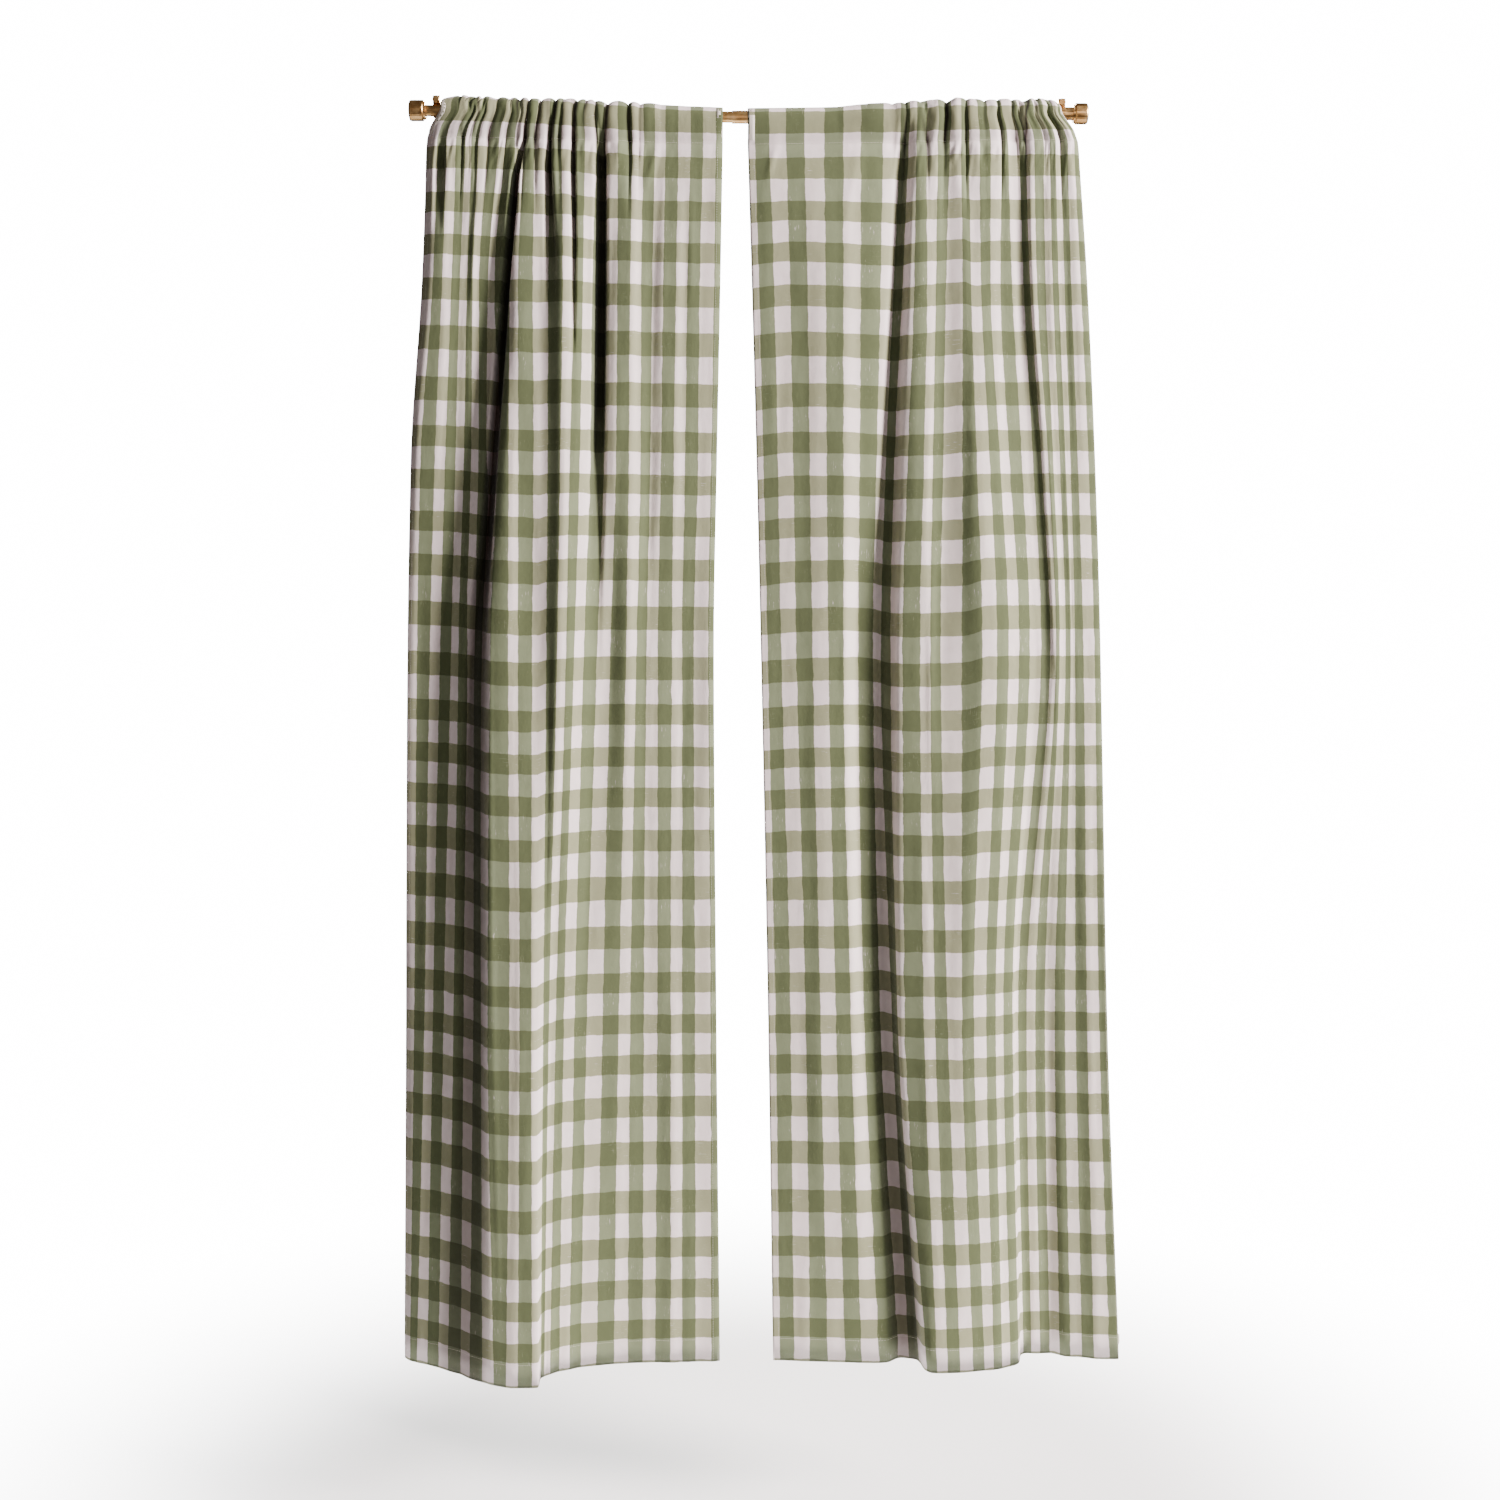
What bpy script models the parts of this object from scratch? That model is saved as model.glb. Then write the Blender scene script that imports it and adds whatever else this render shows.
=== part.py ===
"""A pair of rod-pocket check curtains, gathered on a telescoping brass rod held by two wall brackets.

X runs along the rod, +Y into the wall, +Z up. The origin is on the wall, midway between the
brackets, at the height of the rod's ends. The room is on the -Y side.
"""
import math

import bmesh
import bpy
import numpy as np
from mathutils import Vector

MM = 0.001

# Rod, in metres
BRACKET_SPAN = 1.057          # between the middles of the two collars
ROD_FORWARD = 0.085           # rod axis in front of the wall
ROD_SAG = 0.0086              # how far the middle hangs below the ends
ROD_TILT = 0.0054             # how much lower the right bracket was fixed
INNER_TUBE_DIAMETER = 0.019
OUTER_TUBE_DIAMETER = 0.022
TUBE_WALL = 0.001
TUBE_JOINT_X = -0.029         # where the thick tube ends and the thin one slides into it
TUBE_OVERLAP = 0.12
INNER_TUBE_END_X = -0.5655
OUTER_TUBE_END_X = 0.5645
TUBE_STEPS = 9

# Finials: plain end caps with a step where they meet the tube
FINIAL_DIAMETER = 0.0355
FINIAL_STEP_DIAMETER = 0.030
FINIAL_STEP_LENGTH = 0.003
FINIAL_CHAMFER = 0.003
FINIAL_TIP_EASE = 0.0009      # rounds the corner between the tip and its chamfer
FINIAL_STEP_EASE = 0.0018     # chamfer beside the step
LEFT_FINIAL_X = (-0.5756, -0.5478)
RIGHT_FINIAL_X = (0.5734, 0.5487)
SOCKET_CLEARANCE = 0.0004

# Brackets
COLLAR_WIDTH = 0.012
COLLAR_THICKNESS = 0.0025
COLLAR_CLEARANCE = 0.0006
WALL_PLATE = (0.022, 0.003, 0.064)
ARM_SECTION = (0.008, 0.012)
LUG = (0.012, 0.021, 0.013)   # block on the collar that the screw goes through
LUG_RISE = 0.0165             # middle of the lug above the rod axis
SCREW_HEAD_DIAMETER = 0.0125
SCREW_HEAD_LENGTH = 0.004
SCREW_HEAD_EASE = 0.0014
SCREW_SHANK_DIAMETER = 0.005
SCREW_SHANK_LENGTH = 0.009
SCREW_HOLE_DIAMETER = 0.0058
SCREW_GAP = 0.0003

# Cloth
CLOTH_THICKNESS = 0.0015
STITCH_DROP = 0.046           # seam under the pocket, below the rod axis
HEM_DROP = 2.116              # hem, below the rod's ends
ROD_SEAT_GAP = 0.0004         # between the rod and the cloth where it bears on it
POCKET_SLACK = 0.0035         # how much looser the pocket is in front of and behind the rod
PUCKER_HEIGHT = 0.010         # how far the gathers stand up off the rod
SEAM_PUCKER = 0.0055          # how far the gathers swing in and out along the seam
PUCKERS_PER_CHECK = 1.05
FIRST_PUCKER = 1.05           # its place across the cloth, in checks
PUCKER_FADE = 0.17            # the gathers die out this far below the seam
LEFT_COLUMNS_PER_FOLD = 3      # its narrow valleys run across the fold lines
RIGHT_COLUMNS_PER_FOLD = 2

# Heights below the rod's ends at which the fold tables are given
FOLD_LEVELS = {"seam": STITCH_DROP, "upper": 0.285, "shoulder": 0.590, "middle": 0.895, "low": 1.504,
               "hem": HEM_DROP}
SAG_GROWTH = (0.0, 0.15, 0.45, 0.8, 1.0, 1.0)     # share of the sag reached at each level

# Each row is one fold line from the seam to the hem. "checks" is its place across the flat
# cloth, counted in woven checks from the left edge. The pairs are millimetres at each fold
# level: x from the rod's middle, and how far the cloth stands forward of the rod's axis.
FOLD_COLUMNS = ("checks", "seam x", "seam out", "upper x", "upper out", "shoulder x", "shoulder out",
                "middle x", "middle out", "low x", "low out", "hem x", "hem out")
LEFT_FOLDS = (
    (0.00, -554, -12, -558, -15, -576, -14, -581, -13, -584, -14, -586, -12),
    (0.40, -535, 2, -540, -4, -562, -6, -568, -9, -572, -8, -577, -4),
    (1.00, -510, 5, -520, -1, -533, -4, -542, -9, -550, -4, -562, 4),
    (1.50, -495, 5, -505, -3, -516, -6, -525, -12, -536, -4, -543, 12),
    (2.00, -479, 4, -491, -5, -499, -8, -507, -14, -517, 0, -523, 22),
    (2.50, -469, 3, -479, -4, -485, -7, -495, -15, -499, 12, -506, 31),
    (3.00, -457, 3, -469, -1, -473, -8, -480, -6, -482, 24, -483, 42),
    (3.50, -440, 4, -459, -5, -461, -12, -467, 8, -464, 36, -467, 51),
    (4.00, -422, 4, -444, -7, -448, -13, -452, 26, -449, 50, -444, 60),
    (4.50, -411, 4, -433, -9, -424, 26, -433, 46, -435, 61, -424, 68),
    (5.00, -395, 6, -404, 15, -403, 36, -402, 50, -398, 64, -403, 72),
    (5.50, -380, 8, -389, 21, -387, 35, -386, 48, -381, 67, -383, 74),
    (6.00, -363, 8, -364, 20, -361, 34, -362, 46, -361, 67, -359, 74),
    (6.25, -352, 9, -352, 20, -350, 34, -350, 47, -352, 63, -349, 70),
    (6.50, -340, 9, -338, 22, -337, 36, -338, 49, -343, 54, -348, 52),
    (7.00, -316, 9, -312, 33, -315, 46, -319, 57, -334, 47, -342, 48),
    (7.50, -296, 7, -295, 27, -300, 42, -305, 53, -323, 42, -333, 45),
    (8.00, -277, 7, -280, 20, -284, 36, -292, 45, -310, 37, -318, 37),
    (8.50, -259, 7, -265, 13, -268, 26, -277, 35, -293, 30, -302, 32),
    (9.00, -244, 7, -243, 8, -245, 16, -256, 22, -273, 22, -284, 24),
    (9.50, -222, 8, -223, 14, -225, 20, -234, 19, -247, 19, -258, 19),
    (10.00, -197, 6, -201, 15, -203, 20, -207, 25, -220, 16, -229, 14),
    (10.50, -179, 5, -183, 9, -184, 13, -190, 19, -201, 13, -206, 11),
    (11.00, -159, 4, -164, 5, -167, 8, -173, 13, -178, 9, -180, 8),
    (11.50, -141, 4, -145, 10, -149, 12, -154, 12, -155, 8, -159, 7),
    (12.00, -119, 5, -123, 10, -127, 11, -130, 10, -132, 8, -132, 8),
    (12.50, -98, 6, -104, 6, -108, 6, -113, 7, -113, 5, -113, 5),
    (13.00, -77, 6, -83, 6, -86, 5, -93, 6, -91, 4, -90, 4),
    (13.50, -56, 6, -59, 7, -64, 6, -69, 8, -65, 4, -64, 3),
    (13.75, -45, 2, -49, 2, -55, 1, -60, 2, -56, 0, -50, 0),
)
RIGHT_FOLDS = (
    (0.00, -2, 2, 5, 0, 13, 0, 20, 0, 32, -2, 41, -2),
    (1.00, 48, 6, 56, 5, 62, 4, 67, 3, 83, 2, 90, 2),
    (2.00, 110, 7, 114, 10, 117, 10, 121, 10, 133, 9, 148, 7),
    (2.75, 159, 8, 159, 13, 159, 13, 159, 11, 171, 9, 190, 10),
    (3.30, 191, 6, 191, 8, 189, 2, 187, -10, 196, -4, 222, 9),
    (3.80, 229, 2, 225, 3, 218, -5, 212, -11, 224, -6, 256, 8),
    (4.30, 258, -2, 247, -4, 234, -8, 226, -7, 243, 5, 273, 11),
    (4.80, 272, -3, 263, 0, 249, -2, 242, 5, 251, 14, 289, 20),
    (5.10, 279, 5, 273, 12, 260, 14, 251, 20, 254, 21, 294, 38),
    (5.50, 290, 9, 290, 14, 282, 20, 273, 24, 281, 27, 305, 51),
    (5.85, 305, 9, 305, 12, 299, 20, 293, 26, 298, 30, 318, 53),
    (6.25, 319, 8, 316, 9, 310, 17, 305, 26, 312, 32, 332, 52),
    (6.75, 340, 6, 334, 5, 328, 13, 323, 23, 333, 33, 353, 50),
    (7.25, 358, 8, 361, 11, 360, 20, 358, 30, 357, 36, 375, 46),
    (7.75, 372, 7, 375, 12, 383, 27, 391, 38, 377, 34, 394, 42),
    (8.50, 398, 8, 400, 9, 414, 22, 426, 32, 407, 28, 417, 36),
    (9.25, 427, 5, 425, 4, 439, 12, 454, 22, 428, 18, 439, 24),
    (9.80, 439, 4, 447, -1, 463, 5, 475, 13, 446, 8, 456, 9),
    (10.10, 453, 0, 460, -5, 475, 3, 487, 8, 452, -4, 464, -24),
    (10.50, 463, 0, 472, -2, 488, 7, 502, 12, 465, -10, 476, -32),
    (11.00, 474, 6, 480, 9, 500, 13, 514, 17, 479, -12, 490, -30),
    (11.75, 498, 5, 502, 6, 514, 10, 524, 14, 504, -14, 515, -31),
    (12.50, 513, 6, 519, 6, 531, 7, 540, 9, 529, -9, 539, -19),
    (13.25, 528, 4, 534, 4, 544, 6, 551, 8, 555, -8, 567, -14),
    (14.00, 544, 4, 552, 5, 564, 6, 574, 6, 583, -3, 597, -6),
    (14.55, 555, 0, 571, 0, 585, 1, 594, 1, 604, -3, 626, -6),
    (14.75, 559, -8, 575, -10, 588, -9, 597, -8, 608, -10, 629, -12),
)

# The heading across each panel: how strongly it is gathered, and how far in millimetres the
# pocket's top stands off the rod between the gathers
GATHER_COLUMNS = ("checks", "strength", "lift")
LEFT_GATHERS = ((0.0, 0.4, 1.0), (0.8, 1.0, 1.0), (8.3, 1.0, 1.0), (9.0, 0.0, 0.0),
                (9.7, 0.4, 3.0), (11.0, 0.2, 7.0), (13.75, 0.1, 8.0))
RIGHT_GATHERS = ((0.0, 0.0, 3.0), (3.0, 0.1, 3.5), (4.3, 1.0, 1.0), (9.6, 1.0, 1.0),
                 (10.1, 0.0, 0.0), (10.5, 1.0, 1.0), (14.0, 1.0, 1.0), (14.75, 0.4, 1.0))

# How far each panel's cloth hangs lower towards the hem, in millimetres, across it in checks
LEFT_SAG = ((0.0, 0), (2.0, 3), (3.0, 6), (4.0, 12), (5.0, 16), (6.0, 16), (6.5, 13), (7.0, 8),
            (8.0, 3), (10.0, 0), (13.75, 0))
RIGHT_SAG = ((0.0, 0), (14.75, 0))

# Narrow valleys between folds. Each is a line of places down the cloth: drop in metres, then in
# millimetres x from the rod's middle, depth, and reach to its left and to its right.
VALLEY_COLUMNS = ("drop", "x", "depth", "left", "right")
LEFT_VALLEYS = (
    ((0.046, -382, 8, 5, 5), (0.107, -396, 22, 8, 7), (0.285, -413, 30, 11, 9),
     (0.522, -429, 32, 12, 10), (0.69, -440, 26, 14, 10), (0.83, -449, 10, 18, 10), (0.95, -454, 0, 20, 10)),
    ((0.046, -251, 12, 6, 6), (0.075, -251, 24, 8, 8), (0.285, -252, 30, 9, 9), (0.50, -254, 26, 9, 9),
     (0.61, -256, 10, 10, 10), (0.80, -260, 0, 10, 10)),
)
RIGHT_VALLEYS = (
    ((0.046, 262, 4, 10, 8), (0.10, 261, 12, 10, 8), (0.285, 256, 12, 10, 8), (0.50, 250, 10, 10, 8),
     (0.80, 246, 4, 10, 8), (1.0, 246, 0, 10, 8)),
    ((0.046, 452, 8, 12, 8), (0.10, 455, 12, 13, 9), (0.285, 464, 10, 12, 9), (0.50, 478, 5, 10, 9),
     (0.70, 494, 0, 10, 9)),
)

# Outer edges are drawn in where the pocket passes over the rod
LEFT_EDGE_DRAW = 0.034
RIGHT_EDGE_DRAW = -0.040
EDGE_DRAW_REACH = 8.0         # checks over which that dies out

# Rows of the hanging cloth, below the rod's ends, from the hem up to the row under the seam
SHEET_ROWS = (HEM_DROP, 1.90, 1.68, 1.46, 1.24, 1.03, 0.83, 0.64, 0.48, 0.345, 0.235, 0.15, 0.09)

# Rows of the pocket over the rod, as turns in degrees from its front, upwards and to its back
POCKET_TURNS = (-18, 20, 55, 90, 125, 160, 198)
POCKET_CORNER_RISE = 0.003     # the pocket's inside ends this far above the seam
CLOTH_EDGE_ANGLE = math.radians(60.0)
POCKET_MID_DROP = 0.028       # the row between the rod and the seam, front and back
POCKET_MID_TO_ROD = 0.35      # how far that row still follows the pocket's edge, of the whole way
POCKET_MID_OUT = 0.55         # how far it still stands out from the seam towards the rod's side

SAGE = (0.36, 0.39, 0.27, 1.0)
BRASS = (0.62, 0.36, 0.13, 1.0)


def clear_scene():
    for old in list(bpy.data.objects):
        bpy.data.objects.remove(old, do_unlink=True)


def new_collection(name):
    collection = bpy.data.collections.new(name)
    bpy.context.scene.collection.children.link(collection)
    return collection


def make_material(name, colour, roughness, metallic):
    material = bpy.data.materials.new(name)
    material.use_nodes = True
    shader = material.node_tree.nodes["Principled BSDF"]
    shader.inputs["Base Color"].default_value = colour
    shader.inputs["Roughness"].default_value = roughness
    shader.inputs["Metallic"].default_value = metallic
    return material


def add_object(name, data, collection, material):
    made = bpy.data.objects.new(name, data)
    collection.objects.link(made)
    if material is not None:
        data.materials.append(material)
    return made


def rod_height(x):
    """Height of the rod's axis at x: level at the brackets, lowest in the middle."""
    along = np.clip(x / BRACKET_SPAN, -0.5, 0.5)
    sag = 0.5 + 0.5 * np.cos(2.0 * math.pi * along)
    return -ROD_SAG * sag - ROD_TILT * along


def eased_slopes(positions, values):
    """Slopes of a smooth curve through the values that never overshoots them."""
    steps = np.diff(positions)
    rises = np.diff(values) / steps
    slopes = np.empty_like(values)
    slopes[0] = rises[0]
    slopes[-1] = rises[-1]
    for i in range(1, len(values) - 1):
        before = rises[i - 1]
        after = rises[i]
        if before * after <= 0.0:
            slopes[i] = 0.0
        else:
            weight_before = 2.0 * steps[i] + steps[i - 1]
            weight_after = steps[i] + 2.0 * steps[i - 1]
            slopes[i] = (weight_before + weight_after) / (weight_before / before + weight_after / after)
    return slopes


def eased_curve(positions, values, at):
    """Value at one place of the smooth curve through the given values."""
    positions = np.asarray(positions, dtype=float)
    values = np.asarray(values, dtype=float)
    slopes = eased_slopes(positions, values)
    at = min(max(at, positions[0]), positions[-1])
    i = min(int(np.searchsorted(positions, at, side="right")) - 1, len(positions) - 2)
    width = positions[i + 1] - positions[i]
    t = (at - positions[i]) / width
    start = (1.0 + 2.0 * t) * (1.0 - t) ** 2 * values[i]
    leave = t * (1.0 - t) ** 2 * width * slopes[i]
    end = t * t * (3.0 - 2.0 * t) * values[i + 1]
    arrive = t * t * (t - 1.0) * width * slopes[i + 1]
    return start + leave + end + arrive


class Drape:
    """Where each point of one hanging panel is."""

    def __init__(self, folds, gathers, sag, valleys, columns_per_fold, rod_diameter, edge_draw, drawn_side):
        self.folds = np.array(folds, dtype=float)
        self.checks = self.folds[:, 0]
        self.gathers = np.array(gathers, dtype=float)
        self.sag = np.array(sag, dtype=float)
        self.valleys = [np.array(valley, dtype=float) for valley in valleys]
        self.columns_per_fold = columns_per_fold
        self.seat_radius = rod_diameter / 2.0 + CLOTH_THICKNESS / 2.0 + ROD_SEAT_GAP
        self.edge_draw = edge_draw
        self.drawn_side = drawn_side

    def columns(self):
        """Cloth positions of the columns: every fold line, and places between them."""
        places = []
        for left, right in zip(self.checks[:-1], self.checks[1:]):
            for step in range(self.columns_per_fold):
                places.append(left + (right - left) * step / self.columns_per_fold)
        places.append(self.checks[-1])
        return places

    def level_values(self, place, what):
        """The table's x or out values of one place across the cloth, level by level."""
        values = []
        for level in FOLD_LEVELS:
            column = self.folds[:, FOLD_COLUMNS.index(level + " " + what)]
            values.append(eased_curve(self.checks, column, place) * MM)
        return values

    def gather_value(self, place, what):
        column = self.gathers[:, GATHER_COLUMNS.index(what)]
        return float(np.interp(place, self.gathers[:, 0], column))

    def pucker(self, place):
        """The gathers as a wave across the cloth, from -1 to 1."""
        return math.cos(2.0 * math.pi * PUCKERS_PER_CHECK * (place - FIRST_PUCKER))

    def hangs_lower(self, place, drop):
        """How much lower the cloth hangs at this place, as the sag grows towards the hem."""
        share = np.interp(drop, list(FOLD_LEVELS.values()), SAG_GROWTH)
        return float(np.interp(place, self.sag[:, 0], self.sag[:, 1]) * share) * MM

    def valley_depth(self, x, drop):
        """How far the cloth stands back in the narrow valleys between folds."""
        total = 0.0
        for valley in self.valleys:
            middle, depth, left, right = (
                float(np.interp(drop, valley[:, 0], valley[:, VALLEY_COLUMNS.index(what)])) * MM
                for what in VALLEY_COLUMNS[1:])
            reach = left if x < middle else right
            total += depth * math.exp(-(abs(x - middle) / reach) ** 3)
        return total

    def drawn_in(self, place):
        """How far the pocket's edge moves along the rod, strongest at the panel's outer edge."""
        distance = abs(place - self.drawn_side)
        return self.edge_draw * max(0.0, 1.0 - distance / EDGE_DRAW_REACH)

    def sheet_point(self, place, drop):
        """A point of the hanging cloth, drop metres below the rod's ends."""
        levels = list(FOLD_LEVELS.values())
        x = eased_curve(levels, self.level_values(place, "x"), drop)
        forward = eased_curve(levels, self.level_values(place, "out"), drop)
        fade = max(0.0, 1.0 - (drop - STITCH_DROP) / PUCKER_FADE)
        forward += self.pucker(place) * self.gather_value(place, "strength") * SEAM_PUCKER * fade * fade
        forward -= self.valley_depth(x, drop)
        level = rod_height(x) * max(0.0, 1.0 - (drop - STITCH_DROP) / (HEM_DROP - STITCH_DROP))
        return Vector((x, -ROD_FORWARD - forward, level - drop - self.hangs_lower(place, drop)))

    def pocket_point(self, place, turn):
        """A point of the pocket, at a turn around the rod."""
        seam = self.sheet_point(place, STITCH_DROP)
        x = seam.x + self.drawn_in(place)
        lift = self.gather_value(place, "lift") * MM
        standing = 0.5 * (1.0 + self.pucker(place)) * self.gather_value(place, "strength")
        slack = POCKET_SLACK * abs(math.cos(math.radians(turn)))
        radius = self.seat_radius + lift + standing * PUCKER_HEIGHT + slack
        forward = radius * math.cos(math.radians(turn))
        rise = radius * math.sin(math.radians(turn))
        return Vector((x, -ROD_FORWARD - forward, rod_height(x) + rise))

    def pocket_mid_point(self, place, turn):
        """A point between the rod and the seam, on the side that the turn is on."""
        seam = self.sheet_point(place, STITCH_DROP)
        rod_side = self.pocket_point(place, turn)
        x = seam.x + (rod_side.x - seam.x) * POCKET_MID_TO_ROD
        y = seam.y + (rod_side.y - seam.y) * POCKET_MID_OUT
        return Vector((x, y, rod_height(x) - POCKET_MID_DROP))

    def column_points(self, place):
        """The middle of the cloth down one column: the hanging rows, then the rows of the pocket."""
        hanging = [self.sheet_point(place, drop) for drop in SHEET_ROWS]
        hanging.append(self.sheet_point(place, STITCH_DROP))
        pocket = [self.pocket_mid_point(place, POCKET_TURNS[0])]
        pocket.extend(self.pocket_point(place, turn) for turn in POCKET_TURNS)
        pocket.append(self.pocket_mid_point(place, POCKET_TURNS[-1]))
        return hanging, pocket


def cloth_normals(rows):
    """Directions out of the cloth's face for a grid of points [column][row]."""
    points = np.array(rows, dtype=float)
    across = np.gradient(points, axis=0)
    along = np.gradient(points, axis=1)
    normals = np.cross(across, along)
    return normals / np.linalg.norm(normals, axis=2, keepdims=True)


def make_panel(name, drape, collection, material):
    """One closed solid: a ring of points round the cloth's section in each column, and another
    round the inside of the pocket, lofted from side edge to side edge."""
    columns = [drape.column_points(place) for place in drape.columns()]
    seam_row = len(columns[0][0]) - 1
    middle = np.array([hanging + pocket for hanging, pocket in columns], dtype=float)
    shift = cloth_normals(middle) * (CLOTH_THICKNESS / 2.0)
    face = middle + shift
    reverse = middle - shift
    first = middle[:, seam_row + 1]
    last = middle[:, -1]
    towards_rod = (first + last) / 2.0 - middle[:, seam_row]
    towards_rod /= np.linalg.norm(towards_rod, axis=1, keepdims=True)
    pocket_corner = middle[:, seam_row] + towards_rod * POCKET_CORNER_RISE

    cloth = bmesh.new()
    outer_rings = []
    inner_rings = []
    for i in range(len(middle)):
        outer = list(face[i]) + list(reverse[i, seam_row::-1])
        inner = [pocket_corner[i]] + list(reverse[i, seam_row + 1:])
        outer_rings.append([cloth.verts.new(point) for point in outer])
        inner_rings.append([cloth.verts.new(point) for point in inner])
    for rings in (outer_rings, inner_rings):
        for here, there in zip(rings[:-1], rings[1:]):
            for k in range(len(here)):
                after = (k + 1) % len(here)
                cloth.faces.new((here[k], here[after], there[after], there[k]))
    for outer, inner in ((outer_rings[0], inner_rings[0]), (outer_rings[-1], inner_rings[-1])):
        close_side_edge(cloth, outer, inner, seam_row)
    bmesh.ops.recalc_face_normals(cloth, faces=cloth.faces)
    mesh = bpy.data.meshes.new(name)
    cloth.to_mesh(mesh)
    cloth.free()
    mesh.shade_smooth()
    mesh.set_sharp_from_angle(angle=CLOTH_EDGE_ANGLE)
    return add_object(name, mesh, collection, material)


def close_side_edge(cloth, outer, inner, seam_row):
    """Faces across the cloth's thickness along one side edge, round the open end of the pocket."""
    corner = inner[0]
    pocket_rows = len(inner) - 1
    for row in range(seam_row):
        cloth.faces.new((outer[row], outer[row + 1], outer[-2 - row], outer[-1 - row]))
    seam_face = outer[seam_row]
    seam_reverse = outer[seam_row + pocket_rows + 1]
    cloth.faces.new((seam_face, outer[seam_row + 1], inner[1], corner))
    cloth.faces.new((corner, inner[-1], outer[seam_row + pocket_rows], seam_reverse))
    cloth.faces.new((seam_face, corner, seam_reverse))
    for row in range(1, pocket_rows):
        face_row = seam_row + row
        cloth.faces.new((outer[face_row], outer[face_row + 1], inner[row + 1], inner[row]))


def make_tube(name, start, end, diameter, collection, material):
    """A hollow tube along the sagging rod line."""
    line = bpy.data.curves.new(name, "CURVE")
    line.dimensions = "3D"
    line.bevel_depth = diameter / 2.0
    line.bevel_resolution = 6         # sixteen sides
    spline = line.splines.new("POLY")
    spline.points.add(TUBE_STEPS - 1)
    for i, point in enumerate(spline.points):
        x = start + (end - start) * i / (TUBE_STEPS - 1)
        point.co = (x, -ROD_FORWARD, rod_height(x), 1.0)
    tube = add_object(name, line, collection, material)
    wall = tube.modifiers.new("wall", "SOLIDIFY")
    wall.thickness = TUBE_WALL
    wall.offset = -1.0
    return tube


def make_finial(name, span, tube_diameter, tube_end, collection, material):
    """A turned end cap with a socket for the tube, as a profile round its axis."""
    tip, mouth = span
    length = abs(mouth - tip)
    socket_depth = abs(mouth - tube_end) + SOCKET_CLEARANCE
    outer = FINIAL_DIAMETER / 2.0
    step = FINIAL_STEP_DIAMETER / 2.0
    bore = tube_diameter / 2.0 + SOCKET_CLEARANCE
    profile = (
        (0.0, length),
        (outer - FINIAL_CHAMFER, length),
        (outer - FINIAL_TIP_EASE, length - FINIAL_TIP_EASE),
        (outer, length - FINIAL_CHAMFER),
        (outer, FINIAL_STEP_LENGTH + FINIAL_STEP_EASE),
        (outer - FINIAL_STEP_EASE, FINIAL_STEP_LENGTH),
        (step, FINIAL_STEP_LENGTH),
        (step, 0.0),
        (bore, 0.0),
        (bore, socket_depth),
        (0.0, socket_depth),
    )
    turned = bmesh.new()
    corners = [turned.verts.new((radius, 0.0, height)) for radius, height in profile]
    for a, b in zip(corners[:-1], corners[1:]):
        turned.edges.new((a, b))
    mesh = bpy.data.meshes.new(name)
    turned.to_mesh(mesh)
    turned.free()
    finial = add_object(name, mesh, collection, material)
    finial.location = (mouth, -ROD_FORWARD, rod_height(mouth))
    finial.rotation_euler = (0.0, math.copysign(math.pi / 2.0, tip), 0.0)
    turn = finial.modifiers.new("turn", "SCREW")
    turn.steps = 32
    turn.render_steps = 32
    turn.use_merge_vertices = True
    turn.merge_threshold = 0.0001
    return finial


def add_box(name, size, location, collection, material):
    box = bmesh.new()
    bmesh.ops.create_cube(box, size=1.0)
    bmesh.ops.scale(box, vec=Vector(size), verts=box.verts)
    mesh = bpy.data.meshes.new(name)
    box.to_mesh(mesh)
    box.free()
    made = add_object(name, mesh, collection, material)
    made.location = location
    return made


def add_cylinder(name, diameter, depth, location, axis, collection, material):
    """A closed cylinder centred at the location, along the X or Y axis."""
    cylinder = bmesh.new()
    bmesh.ops.create_cone(cylinder, cap_ends=True, segments=32, radius1=diameter / 2.0,
                          radius2=diameter / 2.0, depth=depth)
    mesh = bpy.data.meshes.new(name)
    cylinder.to_mesh(mesh)
    cylinder.free()
    made = add_object(name, mesh, collection, material)
    made.location = location
    quarter = math.pi / 2.0
    made.rotation_euler = (0.0, quarter, 0.0) if axis == "X" else (quarter, 0.0, 0.0)
    return made


def join_or_cut(target, tool, operation):
    tool.hide_render = True
    tool.display_type = "WIRE"
    step = target.modifiers.new(tool.name, "BOOLEAN")
    step.operation = operation
    step.object = tool


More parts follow.
